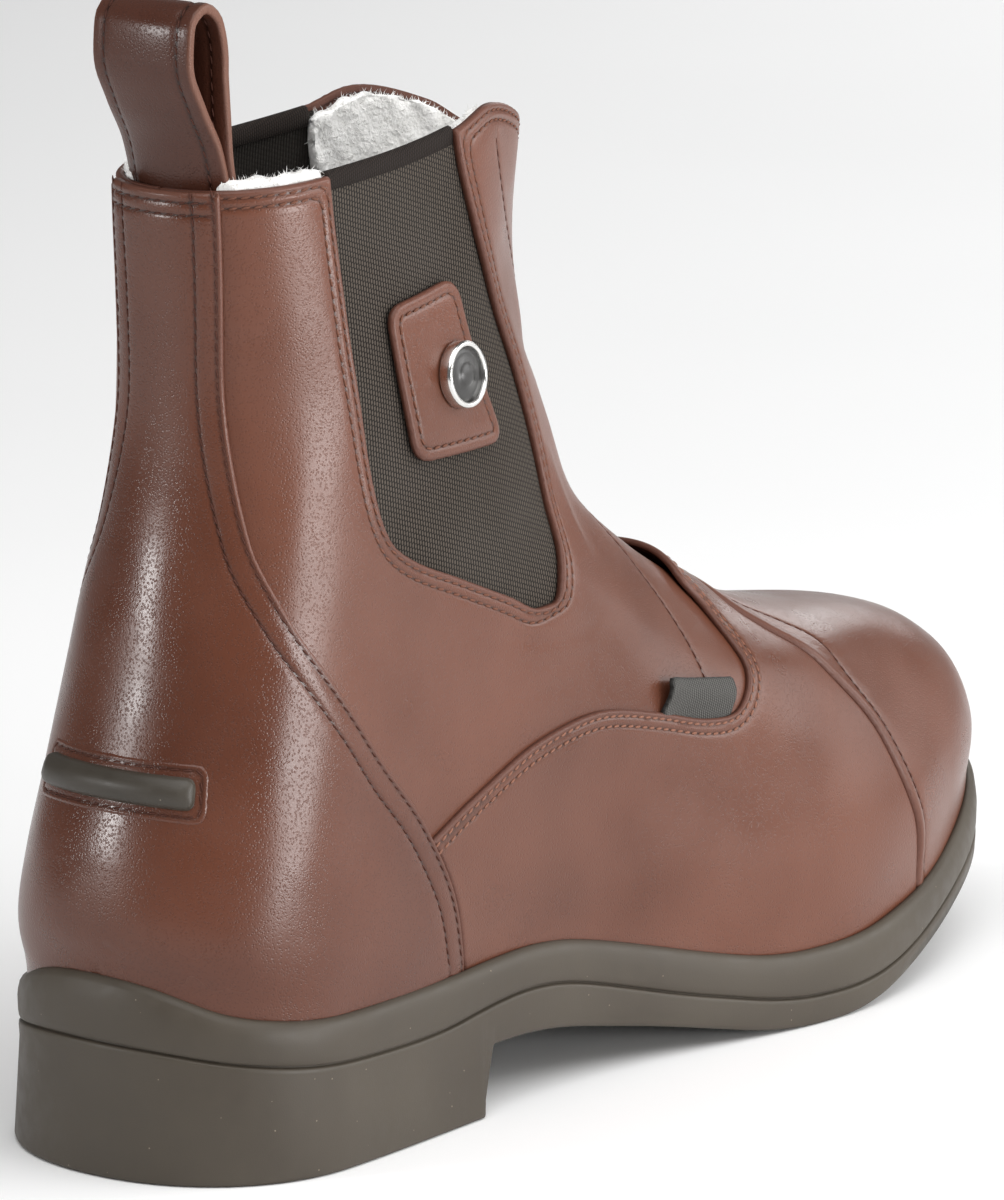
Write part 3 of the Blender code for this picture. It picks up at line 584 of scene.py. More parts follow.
def moved_run(spots, distance, closed=False):
    """The run moved along the skin by a distance, to its left as seen from outside."""
    spots = np.asarray(spots, float)
    around, up, normal = slopes_at(spots[:, 0], spots[:, 1])
    points = skin(spots[:, 0], spots[:, 1])
    if closed:
        run = np.roll(points, -1, axis=0) - np.roll(points, 1, axis=0)
    else:
        run = np.gradient(points, axis=0)
    run /= np.maximum(np.linalg.norm(run, axis=1, keepdims=True), 1e-9)
    side = np.cross(normal, run)
    a, b, c = (around * around).sum(1), (around * up).sum(1), (up * up).sum(1)
    u, v = (side * around).sum(1), (side * up).sum(1)
    area = a * c - b * b
    change = np.column_stack([(v * a - u * b) / area, (u * c - v * b) / area])
    return spots + change * np.reshape(distance, (-1, 1))


def signed_area(outline):
    """Twice an outline's area in the chart: positive when its inside lies to the left of its run."""
    after = np.roll(outline, -1, axis=0)
    return (outline[:, 1] * after[:, 0] - after[:, 1] * outline[:, 0]).sum()


def moved_in(outline, distance):
    """A closed outline moved inward along the skin by a distance."""
    return moved_run(outline, distance * math.copysign(1.0, signed_area(outline)), closed=True)


def nearest(spots):
    """A search tree over the skin's points at spots."""
    tree = KDTree(len(spots))
    for k, point in enumerate(skin(*spots.T)):
        tree.insert(point, k)
    tree.balance()
    return tree


def distances(points, tree):
    """Distance of each point to the nearest one in a tree."""
    return np.array([tree.find(point)[2] for point in points])


def inside(outline, spots):
    """Even-odd test of chart spots against a closed outline."""
    x, y = spots[:, 1], spots[:, 0]
    result = np.zeros(len(spots), bool)
    for (y1, x1), (y2, x2) in zip(outline, np.roll(outline, -1, axis=0)):
        if y1 != y2:
            crosses = (y1 > y) != (y2 > y)
            result ^= crosses & (x < (x2 - x1) * (y - y1) / (y2 - y1) + x1)
    return result


def ridge_height(x):
    """Ring height at which the front ridge of the skin stands at x."""
    heights = np.linspace(0, LAST_RING, SEARCH_STEPS)
    front = blend_rings(heights)["front_x"]
    peak = front.argmax()
    low = front[peak:].argmin() + peak
    return float(np.interp(-x, -front[peak:low + 1], heights[peak:low + 1]))


def over_ridge(start, ridge_x):
    """Skin spots from a side-view point up to the front ridge."""
    low = locate(*start)[0]
    top = ridge_height(ridge_x)
    spots = []
    for u in np.linspace(0, 1, RIDGE_STEPS + 1)[1:]:
        height = low + (top - low) * u
        share = ring_share(blend_rings(np.array(height)), start[0] + (ridge_x - start[0]) * u)
        spots.append((height, turn_at(share)))
    return np.array(spots)


def toe_seam_spots():
    """The toe seam from the outer feather line over the ridge to the inner one."""
    side = side_spots(TOE_SEAM)
    half = np.vstack([over_ridge(TOE_SEAM[0], TOE_RIDGE_X)[::-1], side[side[:, 0] > FOOT_HEIGHT]])
    return softened(np.vstack([half[::-1], mirrored(half[::-1])[1:]]), TOE_SEAM_PASSES)


def vamp_edge_spots():
    """The vamp's upper edge from the outer backstay over the instep to the inner one."""
    half = np.vstack([side_spots(VAMP_EDGE), over_ridge(VAMP_EDGE[-1], VAMP_RIDGE_X)])
    return softened(np.vstack([half, mirrored(half)[1:]]), VAMP_EDGE_PASSES)


def backstay_spots():
    """The backstay's outer edge from the collar down to the sole."""
    edge = side_spots(BACKSTAY_EDGE)
    edge[:, 0] = np.minimum(edge[:, 0], LAST_RING)
    return edge[edge[:, 0] > FOOT_HEIGHT]


def gore_edge(inner=False):
    """The window's edge from the collar behind, down round the gore and up to the collar in front."""
    spots = side_spots(GORE_WINDOW, inner)
    at_collar = np.nonzero(spots[:, 0] < LAST_RING)[0]
    return spots[at_collar[0] - 1:at_collar[-1] + 2]


# Relief that all leather layers share


# Waves of (direction in radians per millimetre, size in millimetres, phase)
LEATHER_WAVES = (
    ((0.11, 0.05, 0.09), 0.16, 0.3),
    ((-0.06, 0.14, 0.05), 0.12, 1.9),
    ((0.19, -0.04, -0.13), 0.06, 4.1),
    ((0.04, 0.21, -0.17), 0.05, 2.6),
    ((-0.23, 0.11, 0.2), 0.04, 5.2),
)
FLEECE_WAVES = (
    ((0.9, 0.3, 0.5), 1.0, 0.4),
    ((-0.4, 0.8, 0.9), 1.0, 1.7),
    ((0.7, -1.1, 0.6), 1.0, 3.0),
    ((1.6, 1.2, -1.4), 1.0, 5.1),
)


def waved(points, waves):
    """Sum of waves at points."""
    return sum(size * np.sin(points @ np.array(wave) + phase) for wave, size, phase in waves)


# Creases and ridges: side-view path of (x, z), on the inner side or not, rise, half width
OUTER = (False,)
INNER = (True,)
BOTH = (False, True)
CREASES = (
    (((96, 99), (108, 95.5), (122, 95), (130, 97)), OUTER, -0.34, 1.5),
    (((101, 93), (113, 90), (127, 90.5)), OUTER, -0.26, 1.4),
    (((92, 88), (106, 85.5), (118, 86)), OUTER, -0.18, 1.5),
    (((96, 99), (108, 95.5), (122, 95), (130, 97)), INNER, -0.3, 1.6),
    (((101, 93), (113, 90), (127, 90.5)), INNER, -0.24, 1.5),
    (((126, 131), (130, 120), (133, 108)), BOTH, 0.5, 2.2),
    (((118, 160), (128, 152), (139, 149)), BOTH, -0.7, 4.0),
    (((136, 128), (144, 121), (153, 118)), BOTH, -0.6, 4.5),
    (((24, 178), (27, 176), (33, 176.5)), OUTER, -0.16, 0.9),
    (((24, 171), (28, 168.5), (35, 170)), OUTER, -0.2, 1.0),
    (((23.6, 163), (27, 161), (31, 161.5)), OUTER, -0.14, 0.9),
    (((24, 174), (28, 172), (34, 173)), INNER, -0.16, 1.0),
    (((2.2, 52), (1.8, 48), (2.6, 42)), OUTER, -0.35, 1.0),
    (((196, 66), (203, 58), (208, 48)), BOTH, -0.3, 5.0),
)
CREASE_REACH = 40.0
CREASE_START = 0.08
CREASE_POWER = 0.7


def crease(points, run, rise, width):
    """A soft trough or ridge along a run of points, fading at its ends."""
    near = np.abs(points - run.mean(axis=0)).max(axis=1) < CREASE_REACH
    away = np.linalg.norm(points[near, None] - run, axis=2)
    along = away.argmin(axis=1) / (len(run) - 1)
    fade = np.sin(math.pi * (CREASE_START + (1 - 2 * CREASE_START) * along)) ** CREASE_POWER
    result = np.zeros(len(points))
    result[near] = rise * fade * np.exp(-(away.min(axis=1) / width) ** 2)
    return result


def relief(points):
    """Rise of the leather over the plain last at points of the skin."""
    folds = np.zeros(len(points))
    for path, sides, rise, width in CREASES:
        for inner in sides:
            folds += crease(points, skin(*side_spots(path, inner).T), rise, width)
    return waved(points, LEATHER_WAVES) + folds


# Leather panels


def smoothstep(value, low, high):
    """0 at low and beyond it, 1 at high and beyond it, and smooth in between."""
    share = np.clip((value - low) / (high - low), 0, 1)
    return share * share * (3 - 2 * share)


def round_edge(distance, radius):
    """Drop of a rounded edge at a distance from it."""
    share = np.clip(1 - distance / radius, 0, 1)
    return radius * (1 - np.sqrt(1 - share ** 2))


def add_row(spots, edges, row, keep):
    """Adds the kept spots of a row to a chart, with an edge between each two that were neighbours."""
    first = sum(len(part) for part in spots)
    number = np.cumsum(keep) - 1 + first
    edges.extend((int(number[k]), int(number[k + 1])) for k in np.nonzero(keep[:-1] & keep[1:])[0])
    spots.append(row[keep])


def panel_chart(outline, lines, radius, edge_tree, line_tree):
    """Ring heights and turns of a panel's points, and its triangles.

    Rows of points follow the outline and each line, and an even grid fills the rest.
    """
    count = len(outline)
    spots = [outline]
    edges = [(k, (k + 1) % count) for k in range(count)]
    for distance in EDGE_ROWS:
        taken = distance * radius / EDGE_RADIUS
        row = moved_run(outline, taken, closed=True)
        near = distances(skin(*row.T), edge_tree)
        add_row(spots, edges, row, (near > EDGE_CLEAR * taken) & inside(outline, row))
    for line in lines:
        for distance in LINE_ROWS:
            row = moved_run(line, distance)
            points = skin(*row.T)
            keep = distances(points, edge_tree) > taken + EDGE_TO_LINE
            keep &= distances(points, line_tree) > LINE_CLEAR * abs(distance)
            add_row(spots, edges, row, keep & inside(outline, row))
    heights = np.linspace(0, LAST_RING, RING_STEPS + 1)
    turns = np.arange(-ROUND_STEPS, ROUND_STEPS + 1) / ROUND_STEPS
    low, high = outline.min(axis=0), outline.max(axis=0)
    grid = np.array([(h, t) for h in heights for t in turns if low[0] < h < high[0] and low[1] < t < high[1]])
    if len(grid):
        grid = grid[inside(outline, grid)]
    if len(grid):
        points = skin(*grid.T)
        keep = distances(points, edge_tree) > taken + EDGE_TO_GRID
        if lines:
            keep &= distances(points, line_tree) > LINE_ROWS[-1] + LINE_TO_GRID
        spots.append(grid[keep])
    chart = np.vstack(spots)[:, ::-1] * (CHART_ROUND, CHART_RISE)
    flat = delaunay_2d_cdt([Vector(p) for p in chart], edges, [], 1, 1e-5)
    chart = np.array([tuple(v) for v in flat[0]]) / (CHART_ROUND, CHART_RISE)
    return chart[:, 1], chart[:, 0], [tuple(face) for face in flat[2]]


def panel(name, outline, top, thick, finish, lines=(), radius=EDGE_RADIUS, rise=None, lift=None, uneven=1.0,
          raw=1.0):
    """A closed panel on the skin inside an outline, with rounded edges and a groove along each line.

    Along the feather line it runs on down into the sole. Rise adds to its depth and lift to its height.
    The attribute rim is raw at the cut edge and 0 away from it, and seam is 1 in the grooves.
    """
    outline = even_spots(outline, OUTLINE_STEP, closed=True)
    if signed_area(outline) < 0:
        outline = outline[::-1]
    border = even_spots(outline, SEARCH_STEP, closed=True)
    edge_tree = nearest(border)
    cut_tree = nearest(border[border[:, 0] > FOOT_HEIGHT + 0.01])
    lines = [even_spots(line, OUTLINE_STEP) for line in lines]
    line_tree = nearest(np.vstack([even_spots(line, SEARCH_STEP) for line in lines])) if lines else None
    height, turn, triangles = panel_chart(outline, lines, radius, edge_tree, line_tree)
    base = skin(height, turn)
    normal = slopes_at(height, turn)[2]
    edge = distances(base, cut_tree)
    seam = np.zeros(len(base))
    if lines:
        seam = np.exp(-(distances(base, line_tree) / GROOVE_WIDTH) ** 2)
    depth = top + uneven * relief(base)
    if rise is not None:
        depth = depth + rise(turn, base, edge)
    base[:, 2] -= TUCK * smoothstep(height, TUCK_BELOW, FOOT_HEIGHT)
    if lift is not None:
        base[:, 2] += lift(height, turn)
    upper = base + normal * (depth - round_edge(edge, radius) - GROOVE_DEPTH * seam)[:, None]
    lower = base + normal * (depth - thick)[:, None]
    made = closed_sheet(name, upper, lower, triangles, finish)
    rim = np.clip(1 - edge / (RIM_REACH * radius), 0, 1)
    store(made, "rim", raw * np.concatenate([rim, np.ones(len(rim))]))
    store(made, "seam", np.concatenate([seam, seam]))
    return made


def closed_sheet(name, upper, lower, triangles, finish):
    """A solid between two layers of the same triangles."""
    count = len(upper)
    directed = {(a, b) for tri in triangles for a, b in zip(tri, tri[1:] + tri[:1])}
    rim = [(a, b) for a, b in directed if (b, a) not in directed]
    faces = triangles + [tuple(k + count for k in tri[::-1]) for tri in triangles]
    faces += [(a + count, b + count, b, a) for a, b in sorted(rim)]
    return add_piece(name, placed(np.concatenate([upper, lower])), faces, finish)


def in_scene(name, data):
    """A new object of the scene with the given mesh, light or camera."""
    made = bpy.data.objects.new(name, data)
    bpy.context.scene.collection.objects.link(made)
    return made


def add_piece(name, points, faces, finish):
    """A shaded object at the origin from points in metres."""
    mesh = bpy.data.meshes.new(name)
    mesh.from_pydata([tuple(p) for p in points], [], [tuple(f) for f in faces])
    mesh.validate()
    mesh.shade_smooth()
    mesh.materials.append(finish)
    return in_scene(name, mesh)


def store(item, name, values):
    """A number for each point of a piece, for its material to read."""
    attribute = item.data.attributes.new(name, "FLOAT", "POINT")
    attribute.data.foreach_set("value", np.asarray(values, np.float32))


def settle(item, slot, *nodes):
    """The piece rides on the boot and stands for its CAD nodes. The slot is not used."""
    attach(item, "root")
    if nodes:
        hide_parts(*nodes)
    return item


# Materials


class Shader:
    """Short calls for the nodes of one tree."""

    def __init__(self, tree):
        self.tree = tree

    def feed(self, socket, value):
        """Links a socket or a node's first output to an input, or sets the input to a plain value."""
        if isinstance(value, bpy.types.Node):
            value = value.outputs[0]
        if isinstance(value, bpy.types.NodeSocket):
            self.tree.links.new(value, socket)
        else:
            socket.default_value = value

    def node(self, kind, inputs=(), **settings):
        """A new node with its settings, and with what its inputs get, by their names or numbers."""
        made = self.tree.nodes.new(kind)
        for name, value in settings.items():
            setattr(made, name, value)
        for name, value in dict(inputs).items():
            self.feed(made.inputs[name], value)
        return made

    def math(self, operation, first, second=0.0, clamp=False):
        made = self.node("ShaderNodeMath", {0: first, 1: second}, operation=operation, use_clamp=clamp)
        return made.outputs[0]

    def mix(self, factor, first, second, share=1.0):
        """The first colour moved towards the second by a share of a factor."""
        if share != 1.0:
            factor = self.math("MULTIPLY", factor, share)
        first, second = ((*value, 1.0) if isinstance(value, tuple) else value for value in (first, second))
        return self.node("ShaderNodeMix", {0: factor, 6: first, 7: second}, data_type="RGBA").outputs[2]

    def span(self, value, low, high, to_low=0.0, to_high=1.0):
        """A smooth step from to_low to to_high as a value goes from low to high."""
        inputs = dict(enumerate((value, low, high, to_low, to_high)))
        return self.node("ShaderNodeMapRange", inputs, interpolation_type="SMOOTHSTEP").outputs[0]

    def between(self, mask, low, high):
        """A number between two by a mask."""
        return self.span(mask, 0.0, 1.0, low, high)

    def noise(self, where, scale, detail=2.0):
        inputs = {"Vector": where, "Scale": scale, "Detail": detail}
        return self.node("ShaderNodeTexNoise", inputs).outputs["Fac"]

    def attribute(self, name):
        return self.node("ShaderNodeAttribute", attribute_name=name).outputs["Fac"]

    def bump(self, height, strength, distance):
        inputs = {"Height": height, "Strength": strength, "Distance": distance}
        return self.node("ShaderNodeBump", inputs).outputs["Normal"]


def shader_group(name, numbers, outputs):
    """A shader node group with a place and named numbers in, and floats out; its calls and its inputs.

    Apart from slants, the numbers are counts per metre.
    """
    tree = bpy.data.node_groups.new(name, "ShaderNodeTree")
    tree.interface.new_socket("Where", in_out="INPUT", socket_type="NodeSocketVector")
    for label, value in numbers.items():
        tree.interface.new_socket(label, in_out="INPUT", socket_type="NodeSocketFloat").default_value = value
    for label in outputs:
        tree.interface.new_socket(label, in_out="OUTPUT", socket_type="NodeSocketFloat")
    shade = Shader(tree)
    return shade, shade.node("NodeGroupInput").outputs


def grain_group():
    """Smooth grain with fine pores: a height, and a fleck mask that is 1 in the pores."""
    shade, given = shader_group("grain", {"cells": 1500.0}, ("Height", "Fleck"))
    cells = shade.node("ShaderNodeTexVoronoi", {"Vector": given["Where"], "Scale": given["cells"]})
    fine = shade.noise(given["Where"], shade.math("MULTIPLY", given["cells"], 1.5), detail=1.0)
    plateau = shade.span(cells.outputs["Distance"], 0.05, 0.5)
    height = shade.math("ADD", plateau, shade.math("MULTIPLY", fine, 0.6))
    shade.node("NodeGroupOutput", {"Height": height, "Fleck": shade.math("SUBTRACT", 1.0, plateau)})
    return shade.tree


def mottle_group():
    """Slow clouds and finer patches, for colour and gloss that vary over a surface."""
    shade, given = shader_group("mottle", {"clouds": 14.0, "patches": 90.0}, ("Clouds", "Patches"))
    clouds = shade.span(shade.noise(given["Where"], given["clouds"]), 0.24, 0.76)
    patches = shade.span(shade.noise(given["Where"], given["patches"]), 0.12, 0.88)
    shade.node("NodeGroupOutput", {"Clouds": clouds, "Patches": patches})
    return shade.tree


def weave_group():
    """Rows of short slanted threads: a height, and a mask that is 1 on the threads."""
    numbers = {"columns": 1700.0, "rows": 900.0, "slant": 0.2}
    shade, given = shader_group("weave", numbers, ("Height", "Thread"))
    parts = shade.node("ShaderNodeSeparateXYZ", {0: given["Where"]}).outputs
    leaning = shade.math("ADD", parts["Z"], shade.math("MULTIPLY", parts["X"], given["slant"]))
    column = shade.math("MULTIPLY", parts["X"], given["columns"])
    odd = shade.math("MULTIPLY", shade.math("MODULO", shade.math("FLOOR", column), 2.0), 0.5)
    row = shade.math("ADD", shade.math("MULTIPLY", leaning, given["rows"]), odd)
    hump = shade.math("SINE", shade.math("MULTIPLY", shade.math("FRACT", column), math.pi))
    knuckle = shade.math("SINE", shade.math("MULTIPLY", shade.math("FRACT", row), math.pi))
    height = shade.math("MULTIPLY", shade.math("POWER", hump, 0.7), shade.math("POWER", knuckle, 0.3))
    shade.node("NodeGroupOutput", {"Height": height, "Thread": shade.span(height, 0.4, 0.9)})
    return shade.tree


GROUPS = {}


def new_material(name):
    """A node material, short calls for its nodes, and Object coordinates."""
    made = bpy.data.materials.new(name)
    made.use_nodes = True
    shade = Shader(made.node_tree)
    return made, shade, shade.node("ShaderNodeTexCoord").outputs["Object"]


def use_group(shade, name, where, **numbers):
    """The outputs of a node group at a place, with its numbers."""
    return shade.node("ShaderNodeGroup", {"Where": where, **numbers}, node_tree=GROUPS[name]).outputs


def paint(shade, sockets):
    """Links and plain numbers for the sockets of a material's shader."""
    principled = shade.tree.nodes["Principled BSDF"]
    for label, value in sockets.items():
        shade.feed(principled.inputs[label], value)


def toned(colour, factor):
    """A colour made darker or lighter."""
    return tuple(factor * channel for channel in colour)


def leather(name, deep, mid, worn, cut=(0.085, 0.03, 0.02), rough=0.31, shine=0.27):
    """Waxed smooth leather: cloudy colour, cut edges of their own colour (for the backstay partly a painted
    highlight), painted shade in the stitch grooves and holes, fine grain.
    """
    made, shade, where = new_material(name)
    grain = use_group(shade, "grain", where, cells=1700.0)
    mottle = use_group(shade, "mottle", where, clouds=16.0, patches=60.0)
    rim = shade.attribute("rim")
    painted_groove_shade = shade.math("POWER", shade.attribute("seam"), 2.0)
    colour = shade.mix(mottle["Clouds"], deep, mid)
    colour = shade.mix(mottle["Patches"], colour, worn, 0.25)
    colour = shade.mix(grain["Fleck"], colour, toned(deep, 0.5), 0.3)
    colour = shade.mix(rim, colour, cut, 0.55)
    # Painted shade: the stitch grooves and the holes between stitches are darkened.
    colour = shade.mix(painted_groove_shade, colour, toned(deep, 0.15), 0.92)
    gloss = shade.between(mottle["Patches"], rough - 0.05, rough + 0.07)
    paint(shade, {
        "Base Color": colour,
        "Roughness": shade.math("ADD", gloss, shade.math("MULTIPLY", rim, 0.25), clamp=True),
        "Normal": shade.bump(grain["Height"], 0.4, 0.00011),
        "Coat Weight": 0.1,
        "Coat Roughness": 0.2,
        "Specular IOR Level": shine,
    })
    return made


def rubber(name, deep, mid, rough):
    """Moulded rubber with faint dusty clouds, a few light specks and a fine matt skin."""
    made, shade, where = new_material(name)
    grain = use_group(shade, "grain", where, cells=2600.0)
    mottle = use_group(shade, "mottle", where, clouds=22.0, patches=260.0)
    dust = shade.node("ShaderNodeTexVoronoi", {"Vector": where, "Scale": 280.0}).outputs
    chosen = shade.math("GREATER_THAN", shade.node("ShaderNodeSeparateColor", {0: dust["Color"]}), 0.4)
    speck = shade.math("MULTIPLY", shade.span(dust["Distance"], 0.03, 0.06, 1.0, 0.0), chosen)
    colour = shade.mix(mottle["Clouds"], deep, mid)
    colour = shade.mix(mottle["Patches"], colour, toned(mid, 1.25), 0.25)
    colour = shade.mix(speck, colour, toned(mid, 5.0), 0.6)
    paint(shade, {
        "Base Color": colour,
        "Roughness": shade.between(mottle["Patches"], rough - 0.06, rough + 0.06),
        "Normal": shade.bump(grain["Height"], 0.1, 0.00008),
        "Specular IOR Level": 0.35,
    })
    return made


def woven(name, gap, thread_colour, columns, rows, slant, depth=0.0002):
    """Woven elastic or tape: threads over dark gaps."""
    made, shade, where = new_material(name)
    weave = use_group(shade, "weave", where, columns=columns, rows=rows, slant=slant)
    mottle = use_group(shade, "mottle", where, clouds=40.0, patches=700.0)
    light = shade.mix(mottle["Patches"], thread_colour, toned(thread_colour, 1.35), 0.35)
    colour = shade.mix(weave["Thread"], gap, light)
    paint(shade, {
        "Base Color": shade.mix(shade.attribute("rim"), colour, toned(thread_colour, 0.2), 0.9),
        "Roughness": shade.between(mottle["Clouds"], 0.78, 0.92),
        "Normal": shade.bump(weave["Height"], 1.0, depth),
        "Specular IOR Level": 0.25,
    })
    return made


def fleece(name):
    """Off-white wool pile with grey clouds, and painted shade and light: greyer in the hollows of its bump,
    whiter on its tufts.
    """
    made, shade, where = new_material(name)
    mottle = use_group(shade, "mottle", where, clouds=120.0, patches=900.0)
    colour = shade.mix(mottle["Clouds"], (0.88, 0.87, 0.84), (0.95, 0.94, 0.92))
    paint(shade, {
        # Painted shade and light: the patches that raise the bump also whiten the colour, so hollows stay
        # grey.
        "Base Color": shade.mix(mottle["Patches"], colour, (0.97, 0.965, 0.95), 0.5),
        "Roughness": shade.between(mottle["Patches"], 0.9, 1.0),
        "Normal": shade.bump(mottle["Patches"], 0.5, 0.0005),
        "Sheen Weight": 0.4,
    })
    return made


def thread(name, colour):
    """Waxed sewing thread with its twist."""
    made, shade, where = new_material(name)
    mottle = use_group(shade, "mottle", where, clouds=500.0, patches=2600.0)
    paint(shade, {
        "Base Color": shade.mix(mottle["Patches"], toned(colour, 0.7), colour),
        "Roughness": shade.between(mottle["Clouds"], 0.65, 0.8),
        "Normal": shade.bump(mottle["Patches"], 0.4, 0.0001),
        "Specular IOR Level": 0.2,
    })
    return made


def metal(name, colour):
    """Polished metal with faint handling marks."""
    made, shade, where = new_material(name)
    mottle = use_group(shade, "mottle", where, clouds=300.0, patches=1500.0)
    paint(shade, {
        "Base Color": shade.mix(mottle["Clouds"], toned(colour, 0.9), colour),
        "Roughness": shade.between(mottle["Patches"], 0.12, 0.22),
        "Metallic": 1.0,
    })
    return made


def enamel(name, colour):
    """Dark enamel inlay."""
    made, shade, where = new_material(name)
    mottle = use_group(shade, "mottle", where, clouds=300.0, patches=1800.0)
    paint(shade, {
        "Base Color": shade.mix(mottle["Patches"], colour, toned(colour, 1.6)),
        "Roughness": shade.between(mottle["Clouds"], 0.3, 0.42),
    })
    return made


def make_materials():
    """The node groups, and every finish by a short name."""
    GROUPS["grain"] = grain_group()
    GROUPS["mottle"] = mottle_group()
    GROUPS["weave"] = weave_group()
    return {
        "leather": leather("brown_leather", (0.092, 0.0305, 0.0165), (0.136, 0.0475, 0.027),
                           (0.172, 0.069, 0.043), shine=0.34),
        # The backstay leather is a darker copy of the brown leather, painted shade for the heel; its lighter
        # cut edge is partly raw-edge colour, partly a painted highlight.
        "backstay": leather("backstay_leather", (0.07, 0.0215, 0.0115), (0.112, 0.0365, 0.0195),
                            (0.145, 0.054, 0.032), cut=(0.14, 0.055, 0.036), rough=0.26, shine=0.36),
        "loop": leather("loop_leather", (0.05, 0.0165, 0.010), (0.075, 0.026, 0.016),
                        (0.105, 0.041, 0.026), cut=(0.2, 0.09, 0.058)),
        "rubber": rubber("sole_rubber", (0.046, 0.036, 0.026), (0.066, 0.054, 0.040), 0.5),
        "spur": rubber("spur_rubber", (0.036, 0.030, 0.023), (0.054, 0.046, 0.036), 0.42),
        "elastic": woven("gore_elastic", (0.006, 0.0045, 0.0035), (0.072, 0.058, 0.046), 1250.0, 950.0, -0.3),
        "binding": woven("gore_binding", (0.006, 0.004, 0.003), (0.019, 0.012, 0.009), 1600.0, 1300.0, 0.3,
                         depth=0.0001),
        "tape": woven("woven_tape", (0.035, 0.033, 0.03), (0.11, 0.107, 0.101), 1500.0, 1900.0, 0.9,
                      depth=0.0001),
        "fleece": fleece("white_fleece"),
        "dark_thread": thread("dark_brown_thread", (0.085, 0.03, 0.02)),
        "brown_thread": thread("brown_thread", (0.17, 0.07, 0.044)),
        "light_thread": thread("light_brown_thread", (0.26, 0.12, 0.08)),
        "metal": metal("button_metal", (0.78, 0.77, 0.75)),
        "enamel": enamel("button_enamel", (0.02, 0.019, 0.018)),
    }


# Stitches and pile by Geometry Nodes


def tree_with(name, sockets):
    """A Geometry Nodes tree with a geometry in and out: its calls, its inputs and their identifiers."""
    tree = bpy.data.node_groups.new(name, "GeometryNodeTree")
    tree.interface.new_socket("Geometry", in_out="INPUT", socket_type="NodeSocketGeometry")
    tree.interface.new_socket("Geometry", in_out="OUTPUT", socket_type="NodeSocketGeometry")
    names = {}
    for label, kind in sockets.items():
        socket = tree.interface.new_socket(label, in_out="INPUT", socket_type="NodeSocket" + kind)
        names[label] = socket.identifier
    shade = Shader(tree)
    return shade, shade.node("NodeGroupInput").outputs, names


def stitch_tree():
    """Stitches along each run of the input mesh, lying on the runs' own up direction."""
    shade, given, names = tree_with("stitch rows", {
        "Pitch": "Float", "Length": "Float", "Width": "Float", "Height": "Float", "Slant": "Float",
        "Thread": "Material"})
    curve = shade.node("GeometryNodeMeshToCurve", {0: given["Geometry"]})
    spaced = shade.node("GeometryNodeResampleCurve",
                        {"Curve": curve, "Length": given["Pitch"]}, mode="LENGTH")
    bead = shade.node("GeometryNodeMeshUVSphere", {"Segments": 6, "Rings": 5, "Radius": 0.5})
    quarter_turn = shade.node("ShaderNodeCombineXYZ", {1: math.radians(90)})
    upright = shade.node("GeometryNodeTransform", {"Geometry": bead, "Rotation": quarter_turn})
    size = shade.node("ShaderNodeCombineXYZ", {0: given["Length"], 1: given["Width"], 2: given["Height"]})
    shaped = shade.node("GeometryNodeTransform", {"Geometry": upright, "Scale": size})
    tangent = shade.node("GeometryNodeInputTangent")
    along = shade.node("FunctionNodeAlignRotationToVector", {"Vector": tangent}, axis="X")
    upward = shade.node("GeometryNodeInputNamedAttribute", {"Name": "up"}, data_type="FLOAT_VECTOR").outputs
    seated = shade.node("FunctionNodeAlignRotationToVector",
                        {"Rotation": along, "Vector": upward["Attribute"]}, axis="Z", pivot_axis="X")
    lean = shade.node("FunctionNodeAxisAngleToRotation", {"Axis": (0.0, 0.0, 1.0), "Angle": given["Slant"]})
    slanted = shade.node("FunctionNodeRotateRotation", {0: seated, 1: lean}, rotation_space="LOCAL")
    copies = shade.node("GeometryNodeInstanceOnPoints",
                        {"Points": spaced, "Instance": shaped, "Rotation": slanted})
    finish_tree(shade, copies, given["Thread"])
    return shade.tree, names


def pile_tree():
    """Short bent wool fibres scattered over the input mesh."""
    shade, given, names = tree_with("wool pile", {
        "Density": "Float", "Length": "Float", "Thickness": "Float", "Seed": "Int", "Wool": "Material"})
    strewn = shade.node("GeometryNodeDistributePointsOnFaces",
                        {"Mesh": given["Geometry"], "Density": given["Density"], "Seed": given["Seed"]},
                        distribute_method="RANDOM").outputs
    fibre = shade.node("GeometryNodeMeshCone",
                       {"Vertices": 3, "Side Segments": 2, "Radius Top": 0.0,
                        "Radius Bottom": given["Thickness"], "Depth": given["Length"]}, fill_type="NONE")
    place = shade.node("ShaderNodeSeparateXYZ", {0: shade.node("GeometryNodeInputPosition")}).outputs
    reach = shade.math("POWER", shade.math("DIVIDE", place["Z"], given["Length"]), 2.0)
    bend = shade.math("MULTIPLY", reach, shade.math("MULTIPLY", given["Length"], PILE_BEND))
    bent = shade.node("GeometryNodeSetPosition",
                      {"Geometry": fibre, "Offset": shade.node("ShaderNodeCombineXYZ", {0: bend})})
    tilt = shade.node("FunctionNodeRandomValue",
                      {0: (-PILE_TILT, -PILE_TILT, -math.pi), 1: (PILE_TILT, PILE_TILT, math.pi),
                       "Seed": given["Seed"]}, data_type="FLOAT_VECTOR")
    facing = shade.node("FunctionNodeRotateRotation",
                        {0: strewn["Rotation"], 1: tilt}, rotation_space="LOCAL")
    size = shade.node("FunctionNodeRandomValue",
                      {2: PILE_SIZES[0], 3: PILE_SIZES[1], "Seed": given["Seed"]}, data_type="FLOAT").outputs
    copies = shade.node("GeometryNodeInstanceOnPoints",
                        {"Points": strewn["Points"], "Instance": bent, "Rotation": facing, "Scale": size[1]})
    finish_tree(shade, copies, given["Wool"])
    return shade.tree, names


